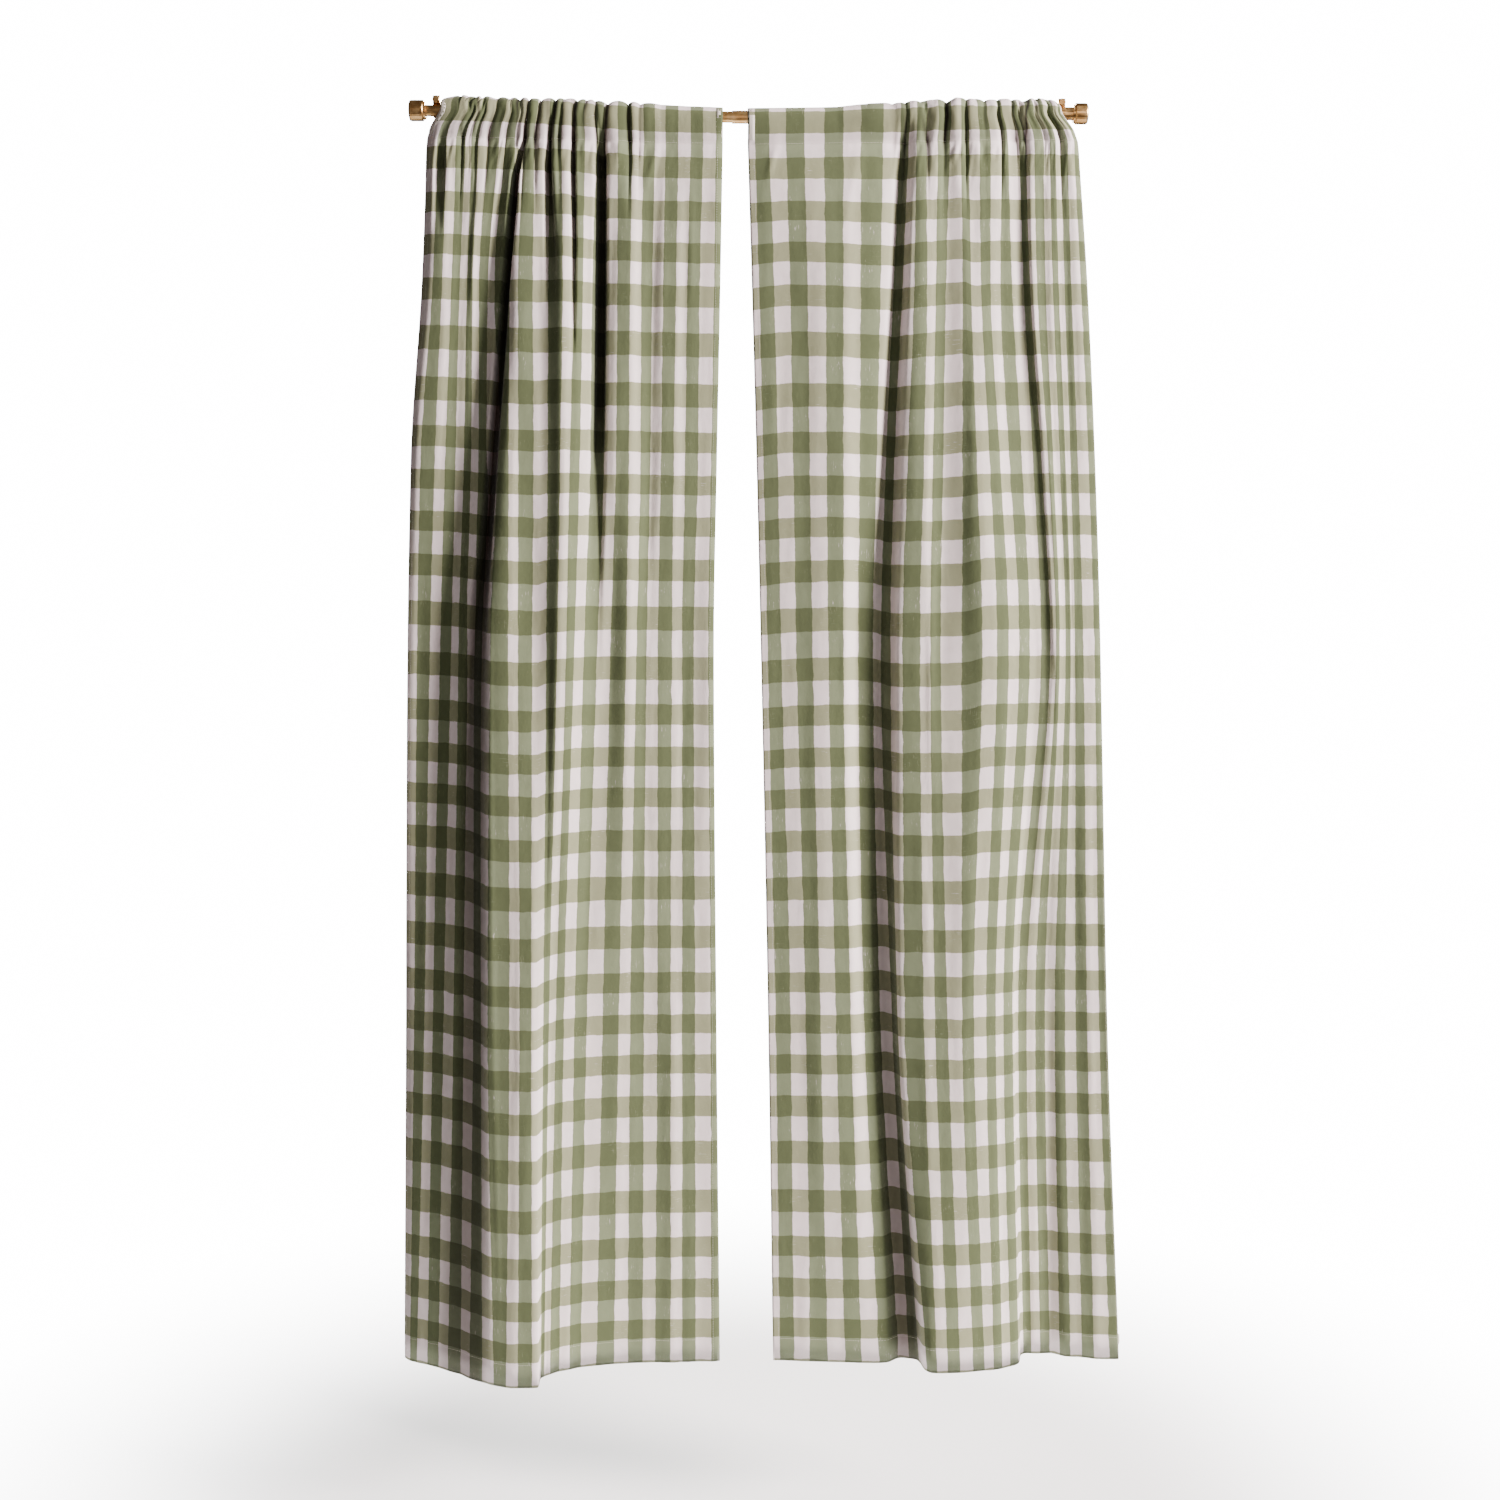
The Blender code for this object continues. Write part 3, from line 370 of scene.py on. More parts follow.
# Each row of folds is one fold line from the seam to the hem: its place across the flat cloth in
# checks, then x from the rod's middle and how far it stands forward of the rod's axis, in
# millimetres, at each of the six levels.
leftPanel = {
    "name": "left_curtain",
    "node": "left_curtain_panel",
    "tube": "rod_inner_tube",
    "tubeDiameter": rod["thinTube"],
    "columnShift": 0.0,             # the print starts with a whole white stripe
    "seed": 11,
    "edgeDraw": 0.034,
    "drawnSide": 0.0,
    "folds": (
        (0.00, -548, -12, -557, -15, -576, -14, -581, -13, -584, -14, -586, -12),
        (0.40, -531, 2, -540, -4, -562, -6, -568, -9, -572, -8, -577, -4),
        (1.00, -510, 5, -520, -1, -533, -4, -542, -9, -550, -4, -562, 4),
        (1.50, -495, 5, -505, -3, -516, -6, -525, -12, -536, -4, -543, 12),
        (2.00, -479, 4, -491, -5, -499, -8, -507, -14, -517, 0, -523, 22),
        (2.50, -469, 3, -479, -4, -485, -7, -495, -15, -499, 12, -506, 31),
        (3.00, -457, 3, -469, -1, -473, -8, -480, -6, -482, 24, -483, 42),
        (3.50, -440, 4, -459, -5, -461, -12, -467, 8, -464, 36, -467, 51),
        (4.00, -422, 4, -444, -7, -448, -13, -452, 26, -449, 50, -444, 60),
        (4.50, -411, 4, -433, -9, -424, 26, -433, 46, -435, 61, -424, 68),
        (5.00, -395, 6, -404, 15, -403, 36, -402, 50, -398, 64, -403, 72),
        (5.50, -380, 8, -389, 21, -387, 35, -386, 48, -381, 67, -383, 74),
        (6.00, -363, 8, -364, 20, -361, 34, -362, 46, -361, 67, -359, 74),
        (6.25, -352, 9, -352, 20, -350, 34, -350, 47, -352, 63, -349, 70),
        (6.50, -340, 9, -338, 22, -337, 36, -338, 49, -343, 54, -348, 52),
        (7.00, -316, 9, -312, 33, -315, 46, -319, 57, -334, 47, -342, 48),
        (7.50, -296, 7, -295, 27, -300, 42, -305, 53, -323, 42, -333, 45),
        (8.00, -277, 7, -280, 20, -284, 36, -292, 45, -310, 37, -318, 37),
        (8.50, -259, 7, -265, 13, -268, 26, -277, 35, -293, 30, -302, 32),
        (9.00, -244, 7, -243, 8, -245, 16, -256, 22, -273, 22, -284, 24),
        (9.50, -222, 8, -223, 14, -225, 20, -234, 19, -247, 19, -258, 19),
        (10.00, -197, 6, -201, 15, -203, 20, -207, 25, -220, 16, -229, 14),
        (10.50, -179, 5, -183, 9, -184, 13, -190, 19, -201, 13, -206, 11),
        (11.00, -159, 4, -164, 5, -167, 8, -173, 13, -178, 9, -180, 8),
        (11.50, -141, 4, -145, 10, -149, 12, -154, 12, -155, 8, -159, 7),
        (12.00, -119, 5, -123, 10, -127, 11, -130, 10, -132, 8, -132, 8),
        (12.50, -98, 6, -104, 6, -108, 6, -113, 7, -113, 5, -113, 5),
        (13.00, -77, 6, -83, 6, -86, 5, -93, 6, -91, 4, -90, 4),
        (13.50, -56, 6, -59, 7, -64, 6, -69, 8, -65, 4, -64, 3),
        (13.75, -45, 2, -49, 2, -55, 1, -60, 2, -56, 0, -50, 0),
    ),
    # place in checks, how strongly the heading is gathered there, lift off the rod in millimetres
    "gathers": ((0.0, 0.7, 1.0), (1.0, 1.1, 1.0), (4.0, 0.9, 1.0), (6.0, 1.0, 1.0), (8.8, 0.9, 1.0),
                (9.3, 0.9, 0.5), (10.6, 0.7, 2.0), (11.3, 0.3, 2.5), (13.75, 0.1, 2.5)),
    # tucks in the heading: place at the crown and at the seam in checks, depth at both as a share
    "tucks": (
        (0.10, 0.10, 0.2, 0.1), (0.70, 0.98, 0.6, 0.1), (1.08, 1.80, 0.4, 0.8), (1.45, 2.30, 0.6, 0.1),
        (1.90, 2.82, 0.9, 0.5), (3.35, 3.46, 0.3, 1.0), (3.92, 4.50, 0.5, 0.3), (4.78, 5.12, 1.0, 0.5),
        (5.43, 5.50, 0.7, 1.0), (6.14, 6.04, 0.8, 1.0), (6.72, 6.60, 1.0, 0.8), (7.04, 6.86, 0.2, 0.9),
        (7.60, 7.44, 1.0, 0.9), (8.07, 7.88, 0.8, 0.1), (8.40, 8.55, 0.4, 0.9), (9.19, 9.00, 1.0, 1.0),
        (9.87, 9.90, 0.8, 1.0), (10.40, 10.30, 0.7, 0.3), (12.4, 12.4, 0.1, 0.1), (13.75, 13.75, 0.1, 0.1),
    ),
    # place in checks, and how far the cloth hangs lower there towards the hem, in millimetres
    "sag": ((0.0, 0), (2.0, 3), (3.0, 6), (4.0, 12), (5.0, 16), (6.2, 16), (6.45, 10), (7.0, 7),
            (8.0, 3), (10.0, 0), (13.75, 0)),
    # place in checks, and how much lower the printed rows lie at each of the six levels
    "rowShift": ((0.0, -10, -8, -6, -5, -2, 0), (4.0, -9, -6, -4, -2, 0, 0), (7.0, -6, -3, -1, 0, 0, 0),
                 (9.0, -3, -1, 0, 0, 0, 0), (11.0, 0, 0, 0, 0, 0, 0), (13.75, 0, 0, 0, 0, 0, 0)),
    # narrow valleys between folds, each as a line of places down the cloth: drop in metres, x from
    # the rod's middle, depth, and reach to its left and to its right, in millimetres, and the
    # share of the light that is lost in it, painted into the cloth's colour as shade
    "valleys": (
        ((0.046, -378, 10, 4, 4, 0.3), (0.07, -387, 22, 5, 5, 0.7), (0.107, -395, 30, 6, 6, 1.0),
         (0.285, -412, 36, 8, 8, 1.0), (0.522, -430, 36, 10, 10, 1.0), (0.69, -442, 34, 13, 12, 1.0),
         (0.83, -452, 26, 20, 14, 0.9), (0.95, -459, 17, 24, 18, 0.75), (1.15, -462, 14, 27, 20, 0.62),
         (1.504, -462, 13, 30, 21, 0.6), (1.80, -463, 9, 40, 22, 0.6), (2.00, -465, 3, 52, 25, 0.6),
         (2.116, -466, 0, 58, 26, 0.6)),
        ((0.046, -250, 14, 5, 5, 0.3), (0.075, -250, 30, 9, 9, 0.9), (0.285, -252, 34, 10, 11, 1.0),
         (0.50, -254, 30, 10, 11, 0.9), (0.61, -256, 14, 12, 12, 0.4), (0.80, -260, 4, 12, 12, 0.1),
         (0.95, -262, 0, 12, 12, 0.0)),
        ((0.046, -338, 12, 4, 4, 0.5), (0.09, -339, 22, 6, 5, 1.0), (0.15, -337, 16, 8, 6, 0.8),
         (0.25, -332, 6, 12, 8, 0.4), (0.35, -332, 0, 12, 8, 0.0)),
        ((0.046, -297, 12, 4, 4, 0.5), (0.10, -297, 22, 5, 4, 0.9), (0.22, -295, 18, 4, 4, 0.7),
         (0.32, -295, 8, 4, 4, 0.3), (0.42, -296, 0, 4, 4, 0.0)),
        ((0.046, -518, 4, 8, 5, 0.0), (0.09, -520, 12, 12, 6, 0.35), (0.15, -526, 5, 9, 8, 0.2),
         (0.22, -530, 0, 9, 8, 0.0)),
    ),
    # creases, given one by one: from and to as checks and drop, then width and height in millimetres
    "creases": (
        (4.50, 0.80, 4.75, 2.00, 3, 1.4),
        (11.2, 0.05, 10.6, 0.12, 9, 1.8),
        (12.4, 0.06, 12.7, 0.30, 12, 1.0),
    ),
}

rightPanel = {
    "name": "right_curtain",
    "node": "right_curtain_panel",
    "tube": "rod_outer_tube",
    "tubeDiameter": rod["thickTube"],
    "columnShift": 0.25,            # the print starts in the middle of a white stripe
    "seed": 23,
    "edgeDraw": -0.040,
    "drawnSide": 14.75,
    "folds": (
        (0.00, -2, 2, 5, 0, 13, 0, 20, 0, 32, -2, 41, -2),
        (1.00, 48, 6, 56, 5, 62, 4, 67, 3, 83, 2, 90, 2),
        (2.00, 110, 7, 114, 10, 117, 10, 121, 10, 133, 9, 148, 7),
        (2.75, 159, 8, 159, 13, 159, 13, 159, 11, 171, 9, 190, 10),
        (3.30, 191, 6, 191, 8, 189, 2, 187, -10, 196, -4, 222, 9),
        (3.80, 229, 2, 225, 3, 218, -5, 212, -11, 224, -6, 256, 8),
        (4.30, 258, -2, 247, -4, 234, -8, 226, -7, 243, 5, 273, 11),
        (4.80, 272, -3, 263, 0, 249, -2, 242, 5, 251, 14, 289, 20),
        (5.10, 279, 5, 273, 12, 260, 14, 251, 20, 254, 21, 294, 38),
        (5.50, 290, 9, 290, 14, 282, 20, 273, 24, 281, 27, 305, 51),
        (5.85, 305, 9, 305, 12, 299, 20, 293, 26, 298, 30, 318, 53),
        (6.25, 319, 8, 316, 9, 310, 17, 305, 26, 312, 32, 332, 52),
        (6.75, 340, 6, 334, 5, 328, 13, 323, 23, 333, 33, 353, 50),
        (7.25, 358, 8, 361, 11, 360, 20, 358, 30, 357, 36, 375, 46),
        (7.75, 372, 7, 375, 12, 383, 27, 391, 38, 377, 34, 394, 42),
        (8.50, 398, 8, 400, 9, 414, 22, 426, 32, 407, 28, 417, 36),
        (9.25, 427, 5, 425, 4, 439, 12, 454, 22, 428, 18, 439, 24),
        (9.80, 439, 4, 447, 1, 463, 7, 475, 14, 446, 8, 456, 9),
        (10.10, 453, 1, 460, -2, 475, 6, 487, 11, 452, -4, 464, -24),
        (10.50, 463, 0, 472, -2, 488, 7, 502, 12, 465, -10, 476, -32),
        (11.00, 474, 6, 480, 9, 500, 13, 514, 17, 479, -12, 490, -30),
        (11.75, 498, 5, 502, 6, 514, 10, 524, 14, 504, -14, 515, -31),
        (12.50, 513, 6, 519, 6, 531, 7, 540, 9, 529, -9, 539, -19),
        (13.25, 528, 4, 534, 4, 544, 6, 551, 8, 555, -8, 567, -14),
        (14.00, 544, 4, 552, 5, 564, 6, 574, 6, 583, -3, 597, -6),
        (14.55, 555, 0, 571, 0, 585, 1, 594, 1, 604, -3, 626, -6),
        (14.75, 559, -8, 575, -10, 588, -9, 597, -8, 608, -10, 629, -12),
    ),
    "gathers": ((0.0, 0.0, 1.5), (2.6, 0.1, 1.5), (3.4, 0.6, 0.8), (4.3, 0.6, 1.0), (5.4, 0.8, 1.0),
                (7.0, 1.1, 1.0), (8.8, 0.8, 1.0), (10.5, 0.8, 1.0), (11.6, 1.0, 1.0), (12.5, 1.0, 1.0),
                (14.0, 0.8, 1.0), (14.75, 0.4, 1.0)),
    "tucks": (
        (0.0, 0.0, 0.0, 0.0), (3.40, 3.40, 0.4, 0.1), (4.00, 4.07, 0.8, 0.5), (4.45, 4.50, 0.5, 0.9),
        (5.36, 5.78, 0.2, 1.0), (6.60, 6.52, 1.0, 0.9), (7.75, 7.56, 0.3, 0.9), (8.75, 8.56, 0.8, 0.2),
        (9.60, 9.30, 0.4, 0.9), (10.50, 10.15, 0.6, 0.4), (11.60, 10.75, 1.0, 1.0), (12.50, 11.81, 0.6, 0.3),
        (13.90, 13.20, 0.3, 0.9), (14.65, 14.60, 0.3, 0.3),
    ),
    "sag": ((0.0, 0), (14.75, 0)),
    "rowShift": ((0.0, 0, 2, 5, 7, 2, 0), (1.2, 0, -4, -1, 2, 0, 0), (2.8, 0, 1, 0, 0, 0, 0),
                 (3.8, 0, 4, 3, 4, 1, 0), (4.8, 0, 4, 7, 11, 3, 0), (6.0, 0, 0, 7, 12, 3, 0),
                 (7.2, 0, -3, 4, 11, 3, 0), (8.0, 0, 3, 1, 0, 0, 0), (9.0, 0, 0, 0, 0, 0, 0),
                 (14.75, 0, 0, 0, 0, 0, 0)),
    "valleys": (
        ((0.046, 262, 4, 8, 5, 0.2), (0.10, 260, 8, 12, 7, 0.35), (0.285, 255, 8, 14, 8, 0.3),
         (0.50, 247, 8, 17, 9, 0.22), (0.70, 239, 8, 20, 10, 0.22), (1.00, 236, 10, 21, 11, 0.3),
         (1.335, 233, 11, 22, 12, 0.42), (1.57, 238, 13, 23, 12, 0.5), (1.72, 247, 15, 25, 13, 0.6),
         (1.87, 259, 18, 28, 14, 0.7), (2.00, 270, 19, 32, 14, 0.72), (2.13, 277, 20, 34, 14, 0.75)),
        ((0.046, 452, 4, 12, 7, 0.1), (0.10, 455, 2, 14, 9, 0.08), (0.285, 464, 1, 14, 9, 0.08),
         (0.50, 476, 1, 14, 9, 0.06), (0.70, 492, 2, 14, 9, 0.12), (0.90, 505, 2, 12, 8, 0.1),
         (1.10, 515, 0, 10, 8, 0.0)),
    ),
    "creases": (
        (1.00, 0.045, 0.60, 0.11, 7, 1.8),
        (3.20, 0.05, 2.80, 0.20, 10, 1.2),
        (9.80, 1.10, 9.90, 2.05, 3, 1.6),
    ),
}


def rodHeight(x):
    # height of the rod's axis: level at the brackets, lowest in the middle
    along = np.clip(x / rod["bracketSpan"], -0.5, 0.5)
    return -rod["sag"] * (0.5 + 0.5 * np.cos(2.0 * math.pi * along)) - rod["tilt"] * along


def easedCurve(places, values, at):
    # smooth curves through the columns of values, which never swing past them, read at many places
    places = np.asarray(places, float)
    values = np.asarray(values, float)
    at = np.clip(np.asarray(at, float), places[0], places[-1])
    steps = np.diff(places)[:, None]
    rises = np.diff(values, axis=0) / steps
    slopes = np.empty_like(values)
    slopes[0] = rises[0]
    slopes[-1] = rises[-1]
    before = rises[:-1]
    after = rises[1:]
    weightBefore = 2.0 * steps[1:] + steps[:-1]
    weightAfter = steps[1:] + 2.0 * steps[:-1]
    turning = before * after <= 0.0
    safeBefore = np.where(turning, 1.0, before)
    safeAfter = np.where(turning, 1.0, after)
    mean = (weightBefore + weightAfter) / (weightBefore / safeBefore + weightAfter / safeAfter)
    slopes[1:-1] = np.where(turning, 0.0, mean)
    i = np.clip(np.searchsorted(places, at, side="right") - 1, 0, len(places) - 2)
    width = steps[i]
    t = ((at - places[i])[:, None]) / width
    start = (1.0 + 2.0 * t) * (1.0 - t) ** 2 * values[i]
    leave = t * (1.0 - t) ** 2 * width * slopes[i]
    end = t * t * (3.0 - 2.0 * t) * values[i + 1]
    arrive = t * t * (t - 1.0) * width * slopes[i + 1]
    return start + leave + end + arrive


def softHills(a, b, seed):
    # smooth random hills over two coordinates, from -1 to 1, which come round again after size
    size = 97
    table = np.random.default_rng(seed).uniform(-1.0, 1.0, (size, size))
    ia = np.floor(a).astype(int)
    ib = np.floor(b).astype(int)
    fa = a - ia
    fb = b - ib
    fa = fa * fa * (3.0 - 2.0 * fa)
    fb = fb * fb * (3.0 - 2.0 * fb)
    corner = [table[(ia + i) % size, (ib + j) % size] for i in (0, 1) for j in (0, 1)]
    return (corner[0] * (1 - fa) * (1 - fb) + corner[1] * (1 - fa) * fb
            + corner[2] * fa * (1 - fb) + corner[3] * fa * fb)


class Hanging:
    # where each point of one panel is, from its place across in checks and its drop
    def __init__(self, plan):
        self.plan = plan
        folds = np.array(plan["folds"], float)
        self.checks = folds[:, 0]
        self.foldX = folds[:, 1::2] * mm
        self.foldOut = folds[:, 2::2] * mm
        self.gathers = np.array(plan["gathers"], float)
        self.tucks = np.array(plan["tucks"], float)
        self.sag = np.array(plan["sag"], float)
        self.rowShift = np.array(plan["rowShift"], float)
        self.seat = plan["tubeDiameter"] / 2.0 + drape["solidCloth"] / 2.0 + drape["seatGap"]

    def hills(self, kind, places, down):
        table, perCheck, slant, perMetre, start, height = hillKinds[kind]
        return height * softHills(places * perCheck + down * slant, down * perMetre + start,
                                  self.plan["seed"] + table)

    def gatherStrength(self, places):
        return np.interp(places, self.gathers[:, 0], self.gathers[:, 1])

    def gatherLift(self, places):
        return np.interp(places, self.gathers[:, 0], self.gathers[:, 2]) * mm

    def tucksAt(self, height):
        # middles and depths of the tucks; height is 0 at the seam and 1 at the crown
        middles = self.tucks[:, 1] + (self.tucks[:, 0] - self.tucks[:, 1]) * height
        return middles, self.tucks[:, 3] + (self.tucks[:, 2] - self.tucks[:, 3]) * height

    def standing(self, places, height):
        # 1 on the crest of a gather, less in the tucks
        middles, depths = self.tucksAt(height)
        turn = np.interp(places, middles, np.arange(len(middles)))
        crest = np.abs(np.sin(math.pi * turn)) ** drape["crestShape"]
        return 1.0 - np.interp(places, middles, depths) * (1.0 - crest)

    def tuckShade(self, places, height):
        # painted shade in the tucks, strongest where the heading is gathered
        middles, depths = self.tucksAt(height)
        away = np.abs(places[:, None] - middles[None, :])
        shades = depths[None, :] ** drape["tuckDarkGrows"] * np.exp(-(away / drape["tuckWidth"]) ** 2)
        return drape["tuckDark"] * shades.max(axis=1) * self.gatherStrength(places)

    def sheet(self, places, drops):
        # rows of points, one row for each drop
        places = np.asarray(places, float)
        drops = np.asarray(drops, float)
        x = easedCurve(drape["levels"], easedCurve(self.checks, self.foldX, places).T, drops)
        out = easedCurve(drape["levels"], easedCurve(self.checks, self.foldOut, places).T, drops)
        below = (drops - drape["stitchDrop"])[:, None]
        fade = np.clip(1.0 - below / drape["gatherFade"], 0.0, 1.0) ** 2
        strength = self.gatherStrength(places)[None, :]
        swing = (2.0 * self.standing(places, 0.0) - 1.0)[None, :]
        out = out + swing * strength * drape["seamGather"] * fade
        for valley in self.plan["valleys"]:
            out = out - self.valleyShape(x, drops, valley)[0]
        pinch = np.exp(-(below / drape["pinchReach"]) ** 2)
        flatPinch = drape["pinchWhereFlat"]
        out = out - drape["seamPinch"] * pinch * (flatPinch + (1.0 - flatPinch) * strength)
        out = out + self.wrinkles(places, below, strength)
        sideways = self.hills("sideways", places[None, :], below)
        x = x + sideways * strength * np.exp(-below / drape["sidewaysFade"])
        down = np.clip(below / (drape["hemDrop"] - drape["stitchDrop"]), 0.0, 1.0)
        z = rodHeight(x) * (1.0 - down) - self.hangsLower(places, drops) - drops[:, None]
        return np.stack([x, -rod["forward"] - out, z], axis=-1)

    def hangsLower(self, places, drops):
        sag = np.interp(places, self.sag[:, 0], self.sag[:, 1])[None, :] * mm
        return sag * np.interp(drops, drape["levels"], drape["sagGrows"])[:, None]

    def rowsLower(self, places, drops):
        # how much lower the printed rows lie
        shifts = easedCurve(self.rowShift[:, 0], self.rowShift[:, 1:], places).T
        return easedCurve(drape["levels"], shifts, drops) * mm

    def valleyShape(self, x, drops, valley):
        # how far the cloth stands back in a valley, and the share of the light lost there
        knots = np.array(valley, float)
        middle, depth, left, right, dark = (np.interp(drops, knots[:, 0], knots[:, i])[:, None]
                                            for i in (1, 2, 3, 4, 5))
        off = x / mm - middle
        inside = np.exp(-np.abs(off / np.where(off < 0.0, left, right)) ** drape["valleyEdge"])
        return depth * mm * inside, dark * inside

    def creaseShade(self, points, places, drops):
        # painted shade: 0 on open cloth and 1 deep in a valley or a tuck, where hardly any light comes
        x = points[:, :, 0]
        shade = sum(self.valleyShape(x, drops, valley)[1] for valley in self.plan["valleys"])
        below = np.clip(drops - drape["stitchDrop"], 0.0, None)
        up = (points[:, :, 2].mean(axis=1) + drape["stitchDrop"] + rod["sag"] / 2.0) / drape["headingHeight"]
        tucks = np.array([self.tuckShade(places, min(max(height, 0.0), 1.0)) for height in up])
        return np.clip(shade + tucks * np.exp(-below / drape["tuckShadeFade"])[:, None], 0.0, 1.0)

    def wrinkles(self, places, below, strength):
        # how far the cloth stands out of its folds
        across = places[None, :]
        seamHills = self.hills("seam", across, below) * np.exp(-below / drape["seamHillsFade"])
        kinks = self.hills("kinks", across, below) * np.exp(-below / drape["kinkFade"])
        nearSeam = (seamHills + kinks) * strength * np.clip(below / drape["seamHillsFrom"], 0.0, 1.0)
        away = np.clip(below / drape["hillsFrom"], 0.0, 1.0)
        total = (self.hills("long", across, below) + self.hills("soft", across, below)) * away + nearSeam
        for crease in self.plan["creases"]:
            total = total + self.crease(across, below + drape["stitchDrop"], crease)
        return total

    def crease(self, across, drop, crease):
        fromCheck, fromDrop, toCheck, toDrop, width, height = crease
        pitch = clothPrint["checkWidth"]
        ax, ay = fromCheck * pitch, fromDrop
        bx, by = toCheck * pitch, toDrop
        px, py = across * pitch - ax, drop - ay
        dx, dy = bx - ax, by - ay
        t = np.clip((px * dx + py * dy) / (dx * dx + dy * dy), 0.0, 1.0)
        away = np.hypot(px - t * dx, py - t * dy)
        taper = np.sqrt(np.sin(math.pi * np.clip(t, *drape["creaseEnds"])))
        return height * mm * taper * np.exp(-(away / (width * mm)) ** 2)

    def pocket(self, places, count):
        # rows from the seam up over the rod and down its back to the seam again
        places = np.asarray(places, float)
        seam = self.sheet(places, [drape["stitchDrop"]])[0]
        distance = np.abs(places - self.plan["drawnSide"])
        drawn = self.plan["edgeDraw"] * np.clip(1.0 - distance / drape["edgeDrawReach"], 0.0, None)
        strength = self.gatherStrength(places)
        base = self.seat + self.gatherLift(places)
        atOnce = drape["edgeDrawnAtOnce"]
        kinkHeight = hillKinds["pocketKinks"][-1]
        crown = math.radians(90) * drape["frontTurn"]
        onRod = []
        for i, turn in enumerate(drape["turns"]):
            angle = math.radians(turn)
            rise = max(math.sin(angle), 0.0)
            height = math.sin(math.radians(min(max(turn, 0), 90)) * drape["frontTurn"]) / math.sin(crown)
            leaning = places + self.hills("lean", places, i) * strength
            lift = self.standing(leaning, height) * drape["gatherHeight"]
            lift = lift + self.hills("pocketHeight", places, i) * rise
            lift = lift + kinkHeight + self.hills("pocketKinks", places, i)
            radius = base + lift * strength + drape["pocketSlack"] * abs(math.cos(angle))
            x = seam[:, 0] + drawn * (atOnce + (1.0 - atOnce) * rise)
            x = x + self.hills("pocketSideways", places, i) * strength
            y = -rod["forward"] - radius * math.cos(angle)
            onRod.append(np.stack([x, y, rodHeight(x) + radius * math.sin(angle)], axis=-1))
        front, rear = [self.betweenSeamAndRod(seam, onRod[i]) for i in (0, -1)]
        back = seam.copy()
        back[:, 1] += drape["backToSeam"]
        return smoothRows(np.array([seam, front, *onRod, rear, back]), count)

    def betweenSeamAndRod(self, seam, near):
        return np.stack([seam[:, 0] + (near[:, 0] - seam[:, 0]) * drape["midToRod"],
                         seam[:, 1] + (near[:, 1] - seam[:, 1]) * drape["midOut"],
                         rodHeight(seam[:, 0]) - drape["midDrop"]], axis=-1)


def smoothRows(knots, count):
    # rows on smooth curves through the knots, without the first one
    padded = np.concatenate([2 * knots[:1] - knots[1:2], knots, 2 * knots[-1:] - knots[-2:-1]])
    rows = []
    for i in range(1, count + 1):
        s = (len(knots) - 1) * i / count
        k = min(int(s), len(knots) - 2)
        t = s - k
        p0, p1, p2, p3 = padded[k:k + 4]
        rows.append(0.5 * (2 * p1 + (p2 - p0) * t + (2 * p0 - 5 * p1 + 4 * p2 - p3) * t ** 2
                           + (3 * p1 - p0 - 3 * p2 + p3) * t ** 3))
    return np.array(rows)


def sheetDrops():
    # drops of the hanging rows from the hem up to the seam, closer together near the heading
    even = drape["evenRows"]
    top = drape["stitchDrop"]
    length = drape["hemDrop"] - top
    lower = 1.0 - np.arange(drape["hangingRows"] + 1) / drape["hangingRows"]
    return list(top + length * (even * lower + (1.0 - even) * lower ** 2))


def panelMesh(hanging):
    # The whole cloth: rows turned up behind the hem, the hanging rows, then the pocket's. Columns
    # turned in at each side lie behind the ones beside them.
    checks = hanging.checks[-1]
    pitch = clothPrint["checkWidth"]
    count = int(checks * drape["columnsPerCheck"])
    front = [checks * i / count for i in range(count + 1)]
    turned = [drape["sideHem"] / pitch * share for share in drape["sideHemColumns"]]
    columns = [(place, 1.0) for place in turned] + [(place, 0.0) for place in front]
    columns += [(checks - place, 1.0) for place in reversed(turned)]
    places = np.array([place for place, layer in columns])
    sideLayer = np.array([layer for place, layer in columns])

    hemRows = [drape["hemDrop"] - drape["bottomHem"] * share for share in drape["hemRows"]]
    hangingRows = sheetDrops()
    drops = np.array(hemRows + hangingRows)
    hemLayer = np.array([1.0] * len(hemRows) + [0.0] * len(hangingRows))
    sheet = hanging.sheet(places, drops)
    below = hanging.sheet(places, drops + drape["probeDown"])
    beside = hanging.sheet(places + drape["probeAcross"], drops)
    normals = np.cross(beside - sheet, sheet - below)
    normals /= np.maximum(np.linalg.norm(normals, axis=2, keepdims=True), 1e-9)
    layers = (hemLayer[:, None] + sideLayer[None, :]) * drape["hemStep"]
    sheet = sheet - normals * layers[:, :, None]

    pocket = hanging.pocket(places, drape["pocketRows"])
    points = np.concatenate([sheet, pocket])
    down = list(drops)
    steps = np.diff(np.concatenate([sheet[-1:], pocket]), axis=0)
    for length in np.linalg.norm(steps, axis=2).mean(axis=1):
        down.append(down[-1] - length)
    flat = np.stack(np.meshgrid(places * pitch, down), axis=-1)
    hangingDown = np.clip(down, drape["stitchDrop"], None)
    flat[:, :, 1] -= hanging.rowsLower(places, hangingDown)
    return points, flat, hanging.creaseShade(points, places, hangingDown)


def addPiece(name, mesh, *materials):
    piece = bpy.data.objects.new(name, mesh)
    bpy.context.scene.collection.objects.link(piece)
    for material in materials:
        mesh.materials.append(material)
    return piece


